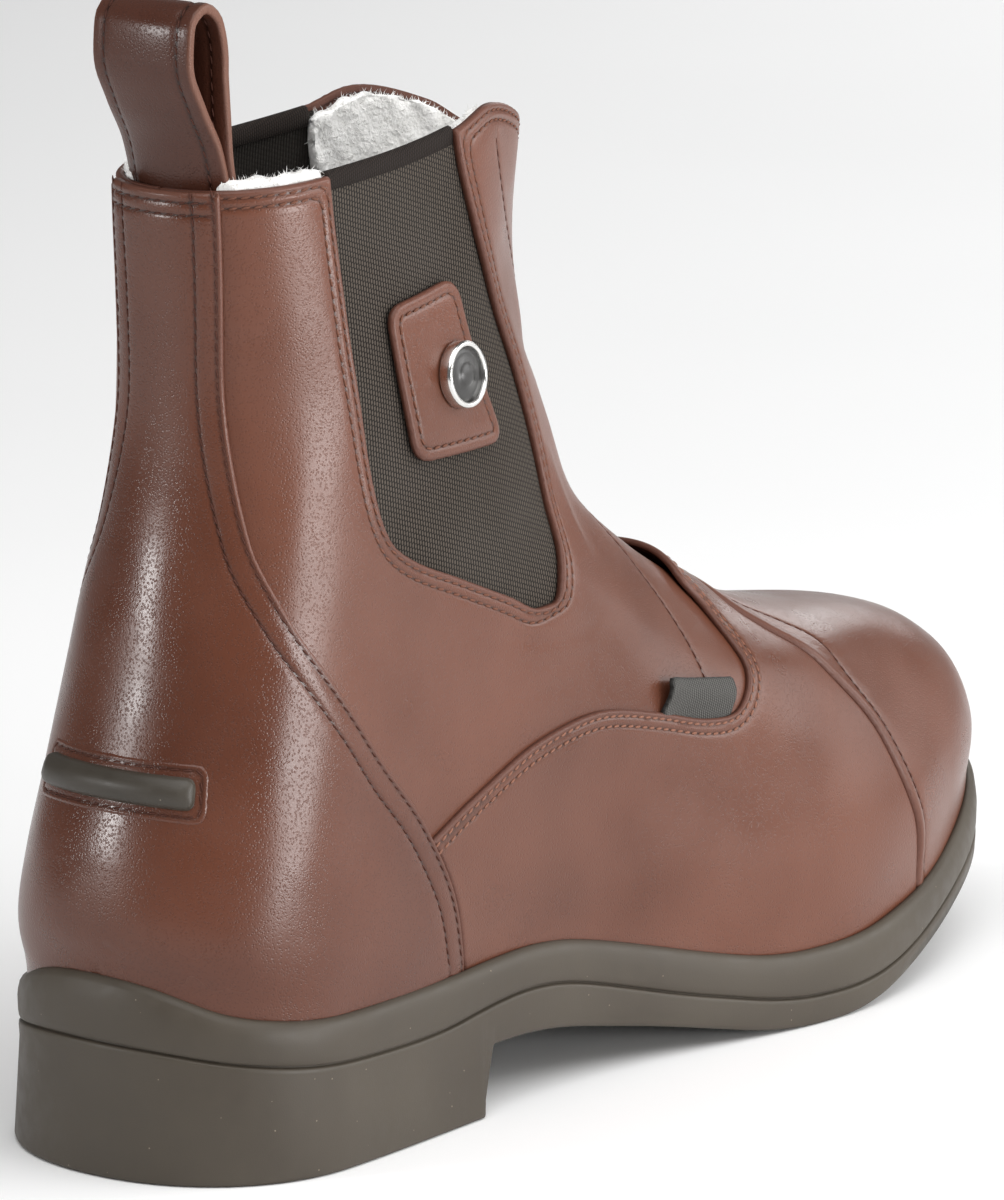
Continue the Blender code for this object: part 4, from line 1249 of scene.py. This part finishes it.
def finish_tree(shade, instances, material):
    """The end of each tree: real geometry with its material, shaded smooth."""
    real = shade.node("GeometryNodeRealizeInstances", {0: instances})
    smooth = shade.node("GeometryNodeSetShadeSmooth", {"Geometry": real})
    painted = shade.node("GeometryNodeSetMaterial", {"Geometry": smooth, "Material": material})
    shade.node("NodeGroupOutput", {0: painted})


def grown(name, source, tree, names, **values):
    """A plain mesh of what a tree makes on a source mesh; the source object is removed."""
    modifier = source.modifiers.new(name, "NODES")
    modifier.node_group = tree
    for label, value in values.items():
        modifier[names[label]] = value
    bpy.context.view_layer.update()
    evaluated = source.evaluated_get(bpy.context.evaluated_depsgraph_get())
    mesh = bpy.data.meshes.new_from_object(evaluated)
    mesh.name = name
    bpy.data.objects.remove(source, do_unlink=True)
    return in_scene(name, mesh)


def run_mesh(name, runs):
    """A mesh of polylines with their up directions, from (points, normals) runs in millimetres."""
    points, normals, edges = [], [], []
    for run, up in runs:
        start = sum(len(p) for p in points)
        points.append(run)
        normals.append(up)
        edges += [(start + k, start + k + 1) for k in range(len(run) - 1)]
    mesh = bpy.data.meshes.new(name)
    mesh.from_pydata([tuple(p) for p in placed(np.concatenate(points))], edges, [])
    attribute = mesh.attributes.new("up", "FLOAT_VECTOR", "POINT")
    attribute.data.foreach_set("vector", np.concatenate(normals).astype(np.float32).ravel())
    return in_scene(name, mesh)


def row_on(spots, top, rise=None):
    """A stitch row's points and normals on a panel whose face lies at a depth."""
    spots = even_spots(spots, ROW_STEP)
    base = skin(*spots.T)
    normal = slopes_at(*spots.T)[2]
    depth = top + relief(base) - GROOVE_DEPTH * STITCH_SUNK
    if rise is not None:
        depth = depth + rise(spots[:, 1], base, np.full(len(base), STITCH_FROM_EDGE))
    return base + normal * depth[:, None], normal


def inside_row(edge, distance):
    """A row kept at a distance to the left of an edge, without the loops that sharp bends would make."""
    edge = softened(edge, ROW_PASSES)
    row = moved_run(edge, distance)
    near = distances(skin(*row.T), nearest(even_spots(edge, SEARCH_STEP)))
    return softened(row[near > SEWN_CLEAR * abs(distance)], ROW_PASSES)


def row_within(outline, distance):
    """A closed row at a distance inside an outline."""
    row = moved_in(even_spots(outline, OUTLINE_STEP, closed=True), distance)
    return np.vstack([row, row[:1]])


# Pieces of the upper


def top_edge(stay):
    """The quarters' top edge along collar and gores, from one side of the back round to the other."""
    lateral = gore_edge(False)
    medial = gore_edge(True)
    return np.vstack([
        collar_run(1 - stay, medial[0, 1]),
        medial[1:-1],
        collar_run(medial[-1, 1], lateral[-1, 1]),
        lateral[::-1][1:-1],
        collar_run(lateral[0, 1], stay),
    ])


def quarter_outline():
    """Both quarters in one sheet: round the feather line, up the back and along the collar and gores."""
    back = np.linspace(FOOT_HEIGHT, LAST_RING, BACK_STEPS)[1:-1]
    return np.vstack([
        feather_run(0.0, 1.0),
        np.column_stack([back, np.ones(len(back))]),
        top_edge(0.0),
        np.column_stack([back[::-1], np.zeros(len(back))]),
    ])


def make_quarters(finish, rows):
    """The quarters: the main leather of the shaft, with two rows along collar and gores and one in front."""
    edge = top_edge(backstay_spots()[0, 1])
    sewn = [inside_row(edge, distance) for distance in QUARTER_ROWS]
    front = side_spots(FRONT_LINE)
    front = softened(front[front[:, 0] < LAST_RING - FRONT_LINE_BELOW_COLLAR], FRONT_LINE_PASSES)
    plain = [front, mirrored(front)]
    rows["brown"] += [row_on(line, QUARTER_TOP) for line in sewn]
    rows["dark"] += [row_on(line, QUARTER_TOP) for line in plain]
    return panel("quarter_leather", quarter_outline(), QUARTER_TOP, QUARTER_THICK, finish, sewn + plain)


def make_backstay(finish, rows):
    """The backstay and heel counter: rows along its edges, under its top and up the middle of the heel."""
    other_side = (1, -1)
    edge = backstay_spots()
    lateral = np.vstack([edge, feather_run(edge[-1, 1], 0.0)[:-1]])
    outline = np.vstack([lateral, [(FOOT_HEIGHT, 0.0)], lateral[::-1] * other_side])
    lines = []
    for distance in BACKSTAY_ROWS:
        row = inside_row(edge, -distance)
        lines += [row, row * other_side]
    across = ring_run(LAST_RING, edge[0, 1], -edge[0, 1], BACKSTAY_TOP_STEPS)
    lines += [moved_run(across, distance)[2:-2] for distance in BACKSTAY_TOP_ROWS]
    rings = np.linspace(*COUNTER_ROW_RINGS, COUNTER_ROW_STEPS)
    lines.append(np.column_stack([rings, np.zeros(len(rings))]))
    top = OVERLAY_TOP + BACKSTAY_PROUD
    rows["dark"] += [row_on(line, top) for line in lines]
    return panel("backstay_leather", outline, top, OVERLAY_THICK + BACKSTAY_PROUD, finish, lines)


def vamp_lip(turn, base, edge):
    """The vamp's throat stands proud of the instep along its free edge."""
    crown = smoothstep(np.abs(turn - 0.5), *LIP_TURN)
    return LIP_RISE * crown * smoothstep(edge, *LIP_EDGE) * smoothstep(base[:, 0], *LIP_X)


def make_vamp(finish, rows):
    """The vamp, from the backstay to the toe seam, over the instep and down both sides."""
    edge = vamp_edge_spots()
    seam = toe_seam_spots()
    stay = backstay_spots()
    stay = stay[stay[:, 0] < edge[0, 0]]
    lower = feather_run(seam[-1, 1], 1 - stay[-1, 1])
    other_lower = feather_run(stay[-1, 1], seam[0, 1])
    outline = np.vstack([seam, lower, mirrored(stay), edge[::-1], stay, other_lower[1:-1]])
    lines = [inside_row(edge, -distance) for distance in VAMP_ROWS]
    rows["light"] += [row_on(line, OVERLAY_TOP, vamp_lip) for line in lines]
    return panel("vamp_leather", outline, OVERLAY_TOP, OVERLAY_THICK, finish, lines, rise=vamp_lip)


def cap_fold(turn, base, edge):
    """The toe cap's edge is folded under, which leaves it thicker along the seam."""
    return CAP_FOLD * smoothstep(edge, *CAP_FOLD_EDGE) * smoothstep(base[:, 2], *CAP_FOLD_Z)


def make_toe_cap(finish, rows):
    """The toe cap, folded at its edge, with one row in front of the seam."""
    seam = toe_seam_spots()
    outline = np.vstack([seam, feather_run(seam[-1, 1], seam[0, 1])[1:-1]])
    line = softened(inside_row(seam, -CAP_ROW), CAP_ROW_PASSES)
    rows["dark"].append(row_on(line, OVERLAY_TOP))
    return panel("toe_cap_leather", outline, OVERLAY_TOP, OVERLAY_THICK + CAP_EXTRA_THICK, finish, [line],
                 radius=CAP_RADIUS, rise=cap_fold)


def gore_pull(turn, base, edge):
    """The elastic draws in a little between its sewn edges."""
    return GORE_PULL * smoothstep(edge, *GORE_PULL_EDGE)


def make_gore(name, inner, finish):
    """The elastic gore, sewn behind its window."""
    edge = gore_edge(inner)
    window = np.vstack([edge, collar_run(edge[-1, 1], edge[0, 1])[1:-1]])
    wide = moved_in(even_spots(window, OUTLINE_STEP, closed=True), -GORE_OVERLAP)
    wide[:, 0] = np.minimum(wide[:, 0], LAST_RING - GORE_BELOW_COLLAR)
    return panel(name, wide, GORE_TOP, GORE_THICK, finish, radius=GORE_RADIUS, rise=gore_pull,
                 uneven=GORE_UNEVEN)


# Section of the tape over a gore's top edge: rise over the collar, and distance out from the gore
BINDING_PROFILE = ((-3.3, 0.1), (-3.0, 0.5), (-1.6, 0.7), (0.0, 0.6), (0.7, 0.1), (0.9, -0.6), (0.7, -1.3),
                   (0.0, -1.8), (-1.6, -1.9), (-3.0, -1.75), (-3.3, -1.4))


def make_binding(name, inner, finish):
    """The folded tape along the top edge of a gore."""
    edge = gore_edge(inner)
    run = ring_run(LAST_RING, edge[0, 1], edge[-1, 1], BINDING_STEPS)
    tops = skin(*run.T)
    normal = slopes_at(*run.T)[2]
    lines = [tops + normal * (GORE_TOP + out) + np.array([0.0, 0.0, rise]) for rise, out in BINDING_PROFILE]
    count = len(lines)
    last = (BINDING_STEPS - 1) * count
    faces = loft_faces(BINDING_STEPS, count)
    faces += [tuple(range(count))[::-1], tuple(range(last, last + count))]
    if inner:
        faces = [face[::-1] for face in faces]
    return add_piece(name, placed(np.stack(lines, axis=1).reshape(-1, 3)), faces, finish)


def make_patch(finish, rows):
    """The sewn leather patch on the outer gore."""
    outline = located(rounded_outline(GORE_PATCH, PATCH_CORNER))
    line = row_within(outline, PATCH_ROW)
    rows["brown"].append(row_on(line, PATCH_TOP))
    return panel("patch_leather", outline, PATCH_TOP, PATCH_THICK, finish, [line], uneven=GORE_UNEVEN)


def tab_lean(turn, base, edge):
    """The tab comes out from under the vamp's edge, and its folded end stands off the leather."""
    lower_edge = np.array(TAB_OUTLINE[:1:-1])
    above = base[:, 2] - np.interp(base[:, 0], *lower_edge.T)
    lean = TAB_SUNK + TAB_LEAN * smoothstep(above, *TAB_LEAN_Z)
    return lean + TAB_FOLD * smoothstep(base[:, 0], *TAB_FOLD_X)


def make_tab(finish):
    """The plain woven tab at the vamp's edge."""
    outline = located(rounded_outline(TAB_OUTLINE, TAB_CORNER))
    return panel("woven_tab", outline, TAB_TOP, TAB_THICK, finish, radius=TAB_RADIUS, rise=tab_lean)


def spur_spots(margin_z, margin_span, corner):
    """Rectangle round the back of the heel with rounded corners."""
    half = SPUR_HEIGHT / 2 + margin_z
    low = locate(BACK_AT_SPUR, SPUR_Z - half)[0]
    high = locate(BACK_AT_SPUR, SPUR_Z + half)[0]
    span = SPUR_HALF_SPAN + margin_span
    stretch = np.array([1 / CHART_RISE, 1 / CHART_ROUND])
    box = np.array([(low, -span), (low, span), (high, span), (high, -span)]) / stretch
    return rounded_outline(box, corner) * stretch


def make_spur_surround(finish, rows):
    """The leather surround of the spur rest, sewn to the counter."""
    outline = spur_spots(SURROUND_MARGIN_Z, SURROUND_MARGIN_SPAN, SURROUND_CORNER)
    line = row_within(outline, SURROUND_ROW)
    top = OVERLAY_TOP + BACKSTAY_PROUD + SURROUND_THICK
    rows["dark"].append(row_on(line, top))
    return panel("spur_surround_leather", outline, top, SURROUND_THICK + SURROUND_SUNK, finish, [line],
                 radius=SURROUND_RADIUS, raw=0.0)


def spur_round(turn, base, edge):
    """The bar's half-round section."""
    share = np.clip(1 - edge / (SPUR_HEIGHT / 2), 0, 1)
    return (SPUR_THICK - SPUR_SUNK) * (np.sqrt(1 - share ** 2) - 1)


def make_spur_bar(finish):
    """The rubber bar of the spur rest."""
    top = OVERLAY_TOP + BACKSTAY_PROUD + SURROUND_THICK + SPUR_THICK - SPUR_SUNK
    outline = spur_spots(0.0, 0.0, SPUR_CORNER)
    return panel("spur_bar", outline, top, SPUR_THICK, finish, radius=SPUR_RADIUS, rise=spur_round)


def fleece_lift(height, turn):
    """The fleece stands a little above the collar behind, and ends under it elsewhere and at the loop."""
    from_back = np.abs((turn + 0.5) % 1.0 - 0.5)
    lift = FLEECE_DROP + (FLEECE_RISE - FLEECE_DROP) * smoothstep(from_back, *FLEECE_RISE_TURN)
    lift = lift + (FLEECE_LOOP_DROP - lift) * smoothstep(from_back, *FLEECE_LOOP_TURN)
    return lift * smoothstep(height, *FLEECE_LIFT_RING)


def fleece_lumps(points, normal):
    """Points of the fleece moved in and out into soft tufts, on its inner face and along its top edge."""
    inner_face = np.arange(len(points)) >= len(points) // 2
    shown = np.maximum(inner_face, smoothstep(points[:, 2], *FLEECE_LUMP_Z))
    return points + normal * (FLEECE_LUMP * waved(points, FLEECE_WAVES) * shown)[:, None]


def make_lining(finish):
    """The fleece lining of the shaft, with the gores left bare."""
    made = panel("fleece_lining", quarter_outline(), LINING_TOP, LINING_THICK, finish, radius=LINING_RADIUS,
                 lift=fleece_lift)
    mesh = made.data
    points = np.empty(3 * len(mesh.vertices))
    normals = np.empty(3 * len(mesh.vertices))
    mesh.vertices.foreach_get("co", points)
    mesh.vertices.foreach_get("normal", normals)
    points = fleece_lumps(points.reshape(-1, 3) / MM, normals.reshape(-1, 3)) * MM
    mesh.vertices.foreach_set("co", points.ravel())
    mesh.update()
    return made


def pile_bed(lining):
    """A copy of the lining's faces that show: the inner face near the collar and its top edge."""
    mesh = lining.data
    kept = []
    for face in mesh.polygons:
        away = Vector((face.center.x - PILE_MIDDLE_X, face.center.y, 0.0)).normalized()
        rim = face.normal.z > PILE_RIM_FACING and face.center.z > PILE_RIM_Z
        if face.center.z > PILE_FROM_Z and (rim or away.dot(face.normal) < -PILE_INWARD_FACING):
            kept.append(tuple(face.vertices))
    bed = bpy.data.meshes.new("pile_bed")
    bed.from_pydata([tuple(v.co) for v in mesh.vertices], [], kept)
    return in_scene("pile_bed", bed)


# Pull loop, sole, insole and badge


def loop_point(x, z, across):
    """A point of the strap's middle layer: the path, bowed across the strap."""
    flat = np.clip((z - LOOP_BOW_BELOW) / (LOOP_FLAT_ABOVE - LOOP_BOW_BELOW), 0, 1)
    bow = LOOP_BOW * (1 - (1 - LOOP_BOW_LEFT) * flat)
    return np.array([x + bow * across * across, across * LOOP_WIDTH / 2, z])


def loop_layers():
    """The strap's middle layer and its normals, path by across."""
    path = dense_curve(LOOP_PATH, LOOP_STEP)
    edge = np.linspace(LOOP_EDGE_FROM, 1, LOOP_EDGE_STEPS)
    inner = np.linspace(-LOOP_EDGE_FROM, LOOP_EDGE_FROM, LOOP_INNER_STEPS)[1:-1]
    across = np.concatenate([-edge[::-1], inner, edge])
    middle = np.array([[loop_point(x, z, u) for u in across] for x, z in path])
    along = np.gradient(middle, axis=0)
    side = np.gradient(middle, axis=1)
    normal = np.cross(along, side)
    normal /= np.linalg.norm(normal, axis=2, keepdims=True)
    return across, middle, normal


def make_loop(finish, rows):
    """The pull loop: a folded strap with a row along each edge, both legs held inside the collar."""
    across, middle, normal = loop_layers()
    half = LOOP_THICK / 2
    away = (1 - np.abs(across)) * LOOP_WIDTH / 2
    drop = round_edge(away, LOOP_EDGE_RADIUS)
    row_at = 1 - 2 * LOOP_STITCH_INSET / LOOP_WIDTH
    from_row = (np.abs(across) - row_at) * LOOP_WIDTH / 2
    seam = np.exp(-(from_row / LOOP_GROOVE_WIDTH) ** 2)
    out = normal * (half - drop - LOOP_GROOVE_DEPTH * seam)[None, :, None]
    front = middle + out
    back = middle - out
    rows_along, count = middle.shape[:2]
    points = np.concatenate([front.reshape(-1, 3), back.reshape(-1, 3)])
    shift = rows_along * count
    faces = []
    for i in range(rows_along - 1):
        for j in range(count - 1):
            a = i * count + j
            quad = (a, a + count, a + count + 1, a + 1)
            faces.append(quad)
            faces.append(tuple(k + shift for k in quad[::-1]))
    border = [i * count for i in range(rows_along)] + [(rows_along - 1) * count + j for j in range(1, count)]
    border += [i * count + count - 1 for i in range(rows_along - 2, -1, -1)] + list(range(count - 2, 0, -1))
    for a, b in zip(border, border[1:] + border[:1]):
        faces.append((b, a, a + shift, b + shift))
    made = add_piece("loop_strap", placed(points), faces, finish)
    rim = np.clip(1 - away / LOOP_RIM, 0, 1)
    store(made, "rim", np.tile(rim, 2 * rows_along))
    store(made, "seam", np.tile(seam, 2 * rows_along))
    sewn = slice(LOOP_ROW_ENDS, -LOOP_ROW_ENDS)
    for sign in (-1, 1):
        j = int(np.abs(across - sign * row_at).argmin())
        for layer, facing in ((front, 1.0), (back, -1.0)):
            rows["dark"].append((layer[sewn, j], normal[sewn, j] * facing))
    return made


# Sole wall from the floor to the seat: inset of an outline, the line of the sole it follows, and its rise
SOLE_WALL = (
    (5.5, "tread", 0.0), (2.6, "tread", 0.0), (1.9, "tread", 0.15), (1.45, "tread", 0.5),
    (1.25, "tread", 1.1), (1.15, "groove", -3.6), (1.0, "groove", -1.2), (1.05, "groove", -0.6),
    (1.25, "groove", -0.34), (1.7, "groove", -0.22), (2.4, "groove", 0.0), (1.7, "groove", 0.22),
    (1.25, "groove", 0.4), (1.05, "groove", 0.9), (0.9, "groove", 2.0), (ROLL_INSET, "roll", 0.0),
    (0.95, "roll", 1.4), (1.3, "feather", -2.0), (1.85, "feather", -1.1), (2.5, "feather", -0.6),
    (3.1, "feather", -0.42), (3.5, "feather", -0.75), (5.0, "feather", -1.3), (8.2, "feather", -1.6),
    (9.2, "seat", 0.0),
)
SOLE_STEPS = 300

# Footbed: inset and rise over the seat of each of its outlines
FOOTBED_WALL = ((9.8, 0.3), (9.6, 2.4), (10.2, 3.4), (11.5, 3.9))
FOOTBED_STEPS = 120

# Tread: stretches along the sole with bars, their pitch and the depth of the grooves between them
TREAD_ZONES = ((9.0, 77.0), (150.0, 272.0))
TREAD_ZONE_ENDS = 3.0
TREAD_PITCH = 8.5
TREAD_GROOVE = 1.3
TREAD_GROOVE_WAVE = (0.35, 0.8)
TREAD_BORDER = (0.04, 0.09)
TREAD_POINT = 0.3
TREAD_ACROSS = 40


def side_loop(outer, inner, heights):
    """One closed loop: the outer run heel to toe, then the inner run back, sharing both end points."""
    run = np.column_stack([outer, heights])
    back = np.column_stack([inner, heights])[-2:0:-1]
    return np.concatenate([run, back])


def loft_faces(rings, points_round):
    """Quads between successive closed loops."""
    faces = []
    for i in range(rings - 1):
        for j in range(points_round):
            k = (j + 1) % points_round
            low = i * points_round
            faces.append((low + j, low + k, low + points_round + k, low + points_round + j))
    return faces


def face_of(*corners):
    """A face that names each of its corners once, so that a quad may close up to a triangle."""
    return tuple(dict.fromkeys(corners))


def ladder_cap(first, per_side):
    """Faces closing a loop made of an outer run and the inner run back, station by station."""
    total = 2 * per_side - 2
    return [face_of(first + k, first + k + 1, first + total - k - 1, first + (total - k) % total)
            for k in range(per_side - 1)]


def tread_rise(x, y, share):
    """Rise of the grooves between pointed bars, within the zones and away from the sole's edge."""
    zone = sum(smoothstep(x, low, low + TREAD_ZONE_ENDS) * smoothstep(x, high, high - TREAD_ZONE_ENDS)
               for low, high in TREAD_ZONES)
    wave = np.cos(2 * math.pi * (x + TREAD_POINT * np.abs(y)) / TREAD_PITCH)
    border = smoothstep(np.minimum(share, 1 - share), *TREAD_BORDER)
    return TREAD_GROOVE * zone * border * smoothstep(wave, *TREAD_GROOVE_WAVE)


def tread_cap(loop, per_side, first_new):
    """Points and faces that close the lowest loop with a treaded underside."""
    total = len(loop)
    share = np.linspace(0, 1, TREAD_ACROSS + 2)[1:-1]
    points, rows = [], []
    for k in range(per_side):
        other = (total - k) % total
        if other == k or k == per_side - 1:
            rows.append([k])
            continue
        across = loop[k] + (loop[other] - loop[k]) * share[:, None]
        across[:, 2] += tread_rise(across[:, 0], across[:, 1], share)
        first = first_new + len(points)
        points += list(across)
        rows.append([k, *range(first, first + TREAD_ACROSS), other])
    faces = []
    for near, far in zip(rows, rows[1:]):
        for j in range(TREAD_ACROSS + 1):
            i, k = min(j, len(near) - 1), min(j + 1, len(near) - 1)
            m, n = min(j + 1, len(far) - 1), min(j, len(far) - 1)
            faces.append(face_of(near[i], near[k], far[m], far[n]))
    return np.array(points), faces


def make_sole(finish):
    """The moulded unit sole with its rounded lip, groove, heel block, arch and tread."""
    loops = []
    for inset, base, rise in SOLE_WALL:
        plain, outer, inner = sole_outline(inset, SOLE_STEPS, HEEL_FLARE if base == "tread" else 0.0)
        if base == "roll":
            heights = (sole_height("groove", plain) + sole_height("feather", plain)) / 2
        else:
            heights = sole_height(base, plain)
        loops.append(side_loop(outer, inner, heights + rise))
    count = len(loops[0])
    tread, tread_faces = tread_cap(loops[0], len(plain), len(loops) * count)
    faces = loft_faces(len(loops), count) + tread_faces
    faces += ladder_cap((len(loops) - 1) * count, len(plain))
    return add_piece("unit_sole", placed(np.concatenate(loops + [tread])), faces, finish)


def make_footbed(finish):
    """The fleece-covered footbed."""
    loops = []
    for inset, rise in FOOTBED_WALL:
        plain, outer, inner = sole_outline(inset, FOOTBED_STEPS)
        loops.append(side_loop(outer, inner, sole_height("seat", plain) + rise))
    count = len(loops[0])
    faces = loft_faces(len(loops), count)
    faces += [face[::-1] for face in ladder_cap(0, len(plain))]
    faces += ladder_cap((len(loops) - 1) * count, len(plain))
    return add_piece("footbed", placed(np.concatenate(loops)), faces, finish)


# Button: profiles of (radius, rise over the patch)
BUTTON_RIM = ((5.7, 1.6), (5.75, 2.75), (5.9, 2.95), (6.25, 3.05), (6.65, 2.95), (6.9, 2.65), (7.0, 2.2),
              (7.0, 0.5), (6.8, 0.1), (6.3, 0.0), (5.7, 0.0))
BUTTON_DISC = ((0.0, 3.05), (0.9, 3.0), (1.8, 2.8), (2.4, 2.5), (2.7, 2.25), (4.4, 2.15), (5.8, 2.1),
               (5.8, 0.2), (0.0, 0.2))
BUTTON_STEPS = 64


def turned(name, profile, closed, finish):
    """A profile turned about the button's own axis, on the patch."""
    height, around = (np.array([value]) for value in locate(BADGE_X, BADGE_Z))
    axis = slopes_at(height, around)[2][0]
    seat = skin(height, around)[0] + axis * PATCH_TOP
    frame = np.array(Vector(axis).to_track_quat("Z", "Y").to_matrix())
    angles = np.arange(BUTTON_STEPS) * 2 * math.pi / BUTTON_STEPS
    points, rings = [], []
    for radius, rise in profile:
        steps = angles if radius else angles[:1]
        rings.append(range(len(points), len(points) + len(steps)))
        points += [(radius * math.cos(a), radius * math.sin(a), rise) for a in steps]
    if closed:
        rings.append(rings[0])
    faces = []
    for first, second in zip(rings, rings[1:]):
        for j in range(BUTTON_STEPS):
            k = (j + 1) % BUTTON_STEPS
            a, b = j % len(first), k % len(first)
            c, d = j % len(second), k % len(second)
            faces.append(face_of(first[a], second[c], second[d], first[b]))
    return add_piece(name, placed(np.array(points) @ frame.T + seat), faces, finish)


# Stage


# Camera fitted to the photograph: pixels, millimetres and degrees
IMAGE_HEIGHT = 1200
FOCAL_PIXELS = 9734.33
SENSOR = 36.0
CAMERA_AZIMUTH = -51.46
CAMERA_ELEVATION = 12.99
CAMERA_DISTANCE = 1901.35
CAMERA_TARGET = (23.49, -88.36, 127.65)
CLIP_END = 50.0


def make_camera():
    """The photograph's view."""
    azimuth, elevation = math.radians(CAMERA_AZIMUTH), math.radians(CAMERA_ELEVATION)
    back = Vector((math.sin(azimuth) * math.cos(elevation), -math.cos(azimuth) * math.cos(elevation),
                   math.sin(elevation)))
    data = bpy.data.cameras.new("camera")
    data.sensor_width = SENSOR
    data.lens = FOCAL_PIXELS / IMAGE_HEIGHT * SENSOR
    data.clip_end = CLIP_END
    made = in_scene("camera", data)
    made.location = Vector(placed(CAMERA_TARGET)) + back * CAMERA_DISTANCE * MM
    made.rotation_mode = "QUATERNION"
    made.rotation_quaternion = (-back).to_track_quat("-Z", "Y")
    bpy.context.scene.camera = made


WORLD_LIGHT = 0.17
LIGHTS_AIM = Vector((0.0, 0.0, 0.1))
FLOOR_HALF = 12.0

# Softboxes: direction from the boot, distance in metres, width, height, power in watts
SOFTBOXES = {
    "left_box": ((-0.853, 0.483, 0.198), 1.6, 0.25, 0.24, 6.5),
    "right_box": ((0.1, -0.985, 0.06), 1.6, 0.7, 0.5, 16.0),
    "side_box": ((0.58, -0.72, 0.4), 1.9, 1.3, 1.0, 16.0),
    "front_box": ((0.88, -0.41, 0.30), 1.8, 0.9, 0.9, 4.0),
    "toe_box": ((0.88, 0.375, 0.35), 1.8, 0.8, 0.8, 5.0),
    "top_box": ((-0.3, -0.35, 1.0), 1.7, 1.9, 1.9, 30.0),
}


def make_lights():
    """The softboxes, a dim white world and a plain view transform."""
    for name, (direction, distance, width, height, power) in SOFTBOXES.items():
        data = bpy.data.lights.new(name, "AREA")
        data.shape = "RECTANGLE"
        data.size = width
        data.size_y = height
        data.energy = power
        made = in_scene(name, data)
        away = Vector(direction).normalized()
        made.location = LIGHTS_AIM + away * distance
        made.rotation_mode = "QUATERNION"
        made.rotation_quaternion = away.to_track_quat("Z", "Y")
    world = bpy.data.worlds.new("studio")
    bpy.context.scene.world = world
    world.use_nodes = True
    background = world.node_tree.nodes["Background"].inputs
    background["Color"].default_value = (1.0, 1.0, 1.0, 1.0)
    background["Strength"].default_value = WORLD_LIGHT
    bpy.context.scene.view_settings.view_transform = "Standard"


def make_floor():
    """A plain pale floor."""
    made, shade, where = new_material("pale_floor")
    mottle = use_group(shade, "mottle", where, clouds=3.0, patches=40.0)
    colour = shade.mix(mottle["Clouds"], (0.93, 0.93, 0.93), (0.95, 0.95, 0.95))
    paint(shade, {"Base Color": colour, "Roughness": 0.8})
    corners = FLOOR_HALF * np.array([(-1, -1, 0), (1, -1, 0), (1, 1, 0), (-1, 1, 0)])
    floor = add_piece("floor", corners, [(0, 1, 2, 3)], made)


def main():
    """Every piece with its finish and CAD nodes, then the stage."""
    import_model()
    finishes = make_materials()
    rows = {kind: [] for kind in STITCH_SIZES}
    settle(make_quarters(finishes["leather"], rows), "brown_leather", "upper")
    settle(make_backstay(finishes["backstay"], rows), "brown_leather", "backstay")
    settle(make_vamp(finishes["leather"], rows), "brown_leather", "vamp")
    settle(make_toe_cap(finishes["leather"], rows), "brown_leather", "toe_cap")
    settle(make_gore("elastic_lateral", False, finishes["elastic"]), "gore_elastic", "gore_lateral")
    settle(make_gore("elastic_medial", True, finishes["elastic"]), "gore_elastic", "gore_medial")
    settle(make_binding("binding_lateral", False, finishes["binding"]), "gore_elastic")
    settle(make_binding("binding_medial", True, finishes["binding"]), "gore_elastic")
    settle(make_patch(finishes["leather"], rows), "brown_leather", "gore_patch")
    settle(make_tab(finishes["tape"]), "woven_tape", "label_tab")
    settle(make_spur_surround(finishes["backstay"], rows), "brown_leather", "spur_surround")
    settle(make_spur_bar(finishes["spur"]), "spur_rubber", "spur_rest")
    settle(make_loop(finishes["loop"], rows), "brown_leather", "pull_loop")
    lining = settle(make_lining(finishes["fleece"]), "insole_felt")
    pile = grown("fleece_pile", pile_bed(lining), *pile_tree(), Wool=finishes["fleece"], **PILE)
    settle(pile, "insole_felt")
    settle(make_sole(finishes["rubber"]), "sole_rubber", "outsole")
    settle(make_footbed(finishes["fleece"]), "insole_felt", "insole")
    settle(turned("button_rim", BUTTON_RIM, True, finishes["metal"]), "badge_metal", "badge")
    settle(turned("button_disc", BUTTON_DISC, False, finishes["enamel"]), "badge_metal")
    tree, names = stitch_tree()
    for kind, sizes in STITCH_SIZES.items():
        name = kind + "_stitches"
        sizes = {label: size * MM for label, size in zip(STITCH_COLUMNS, sizes)}
        made = grown(name, run_mesh(name + "_runs", rows[kind]), tree, names,
                     Slant=math.radians(STITCH_SLANT), Thread=finishes[kind + "_thread"], **sizes)
        settle(made, "brown_leather")
    make_floor()
    make_lights()
    make_camera()


main()
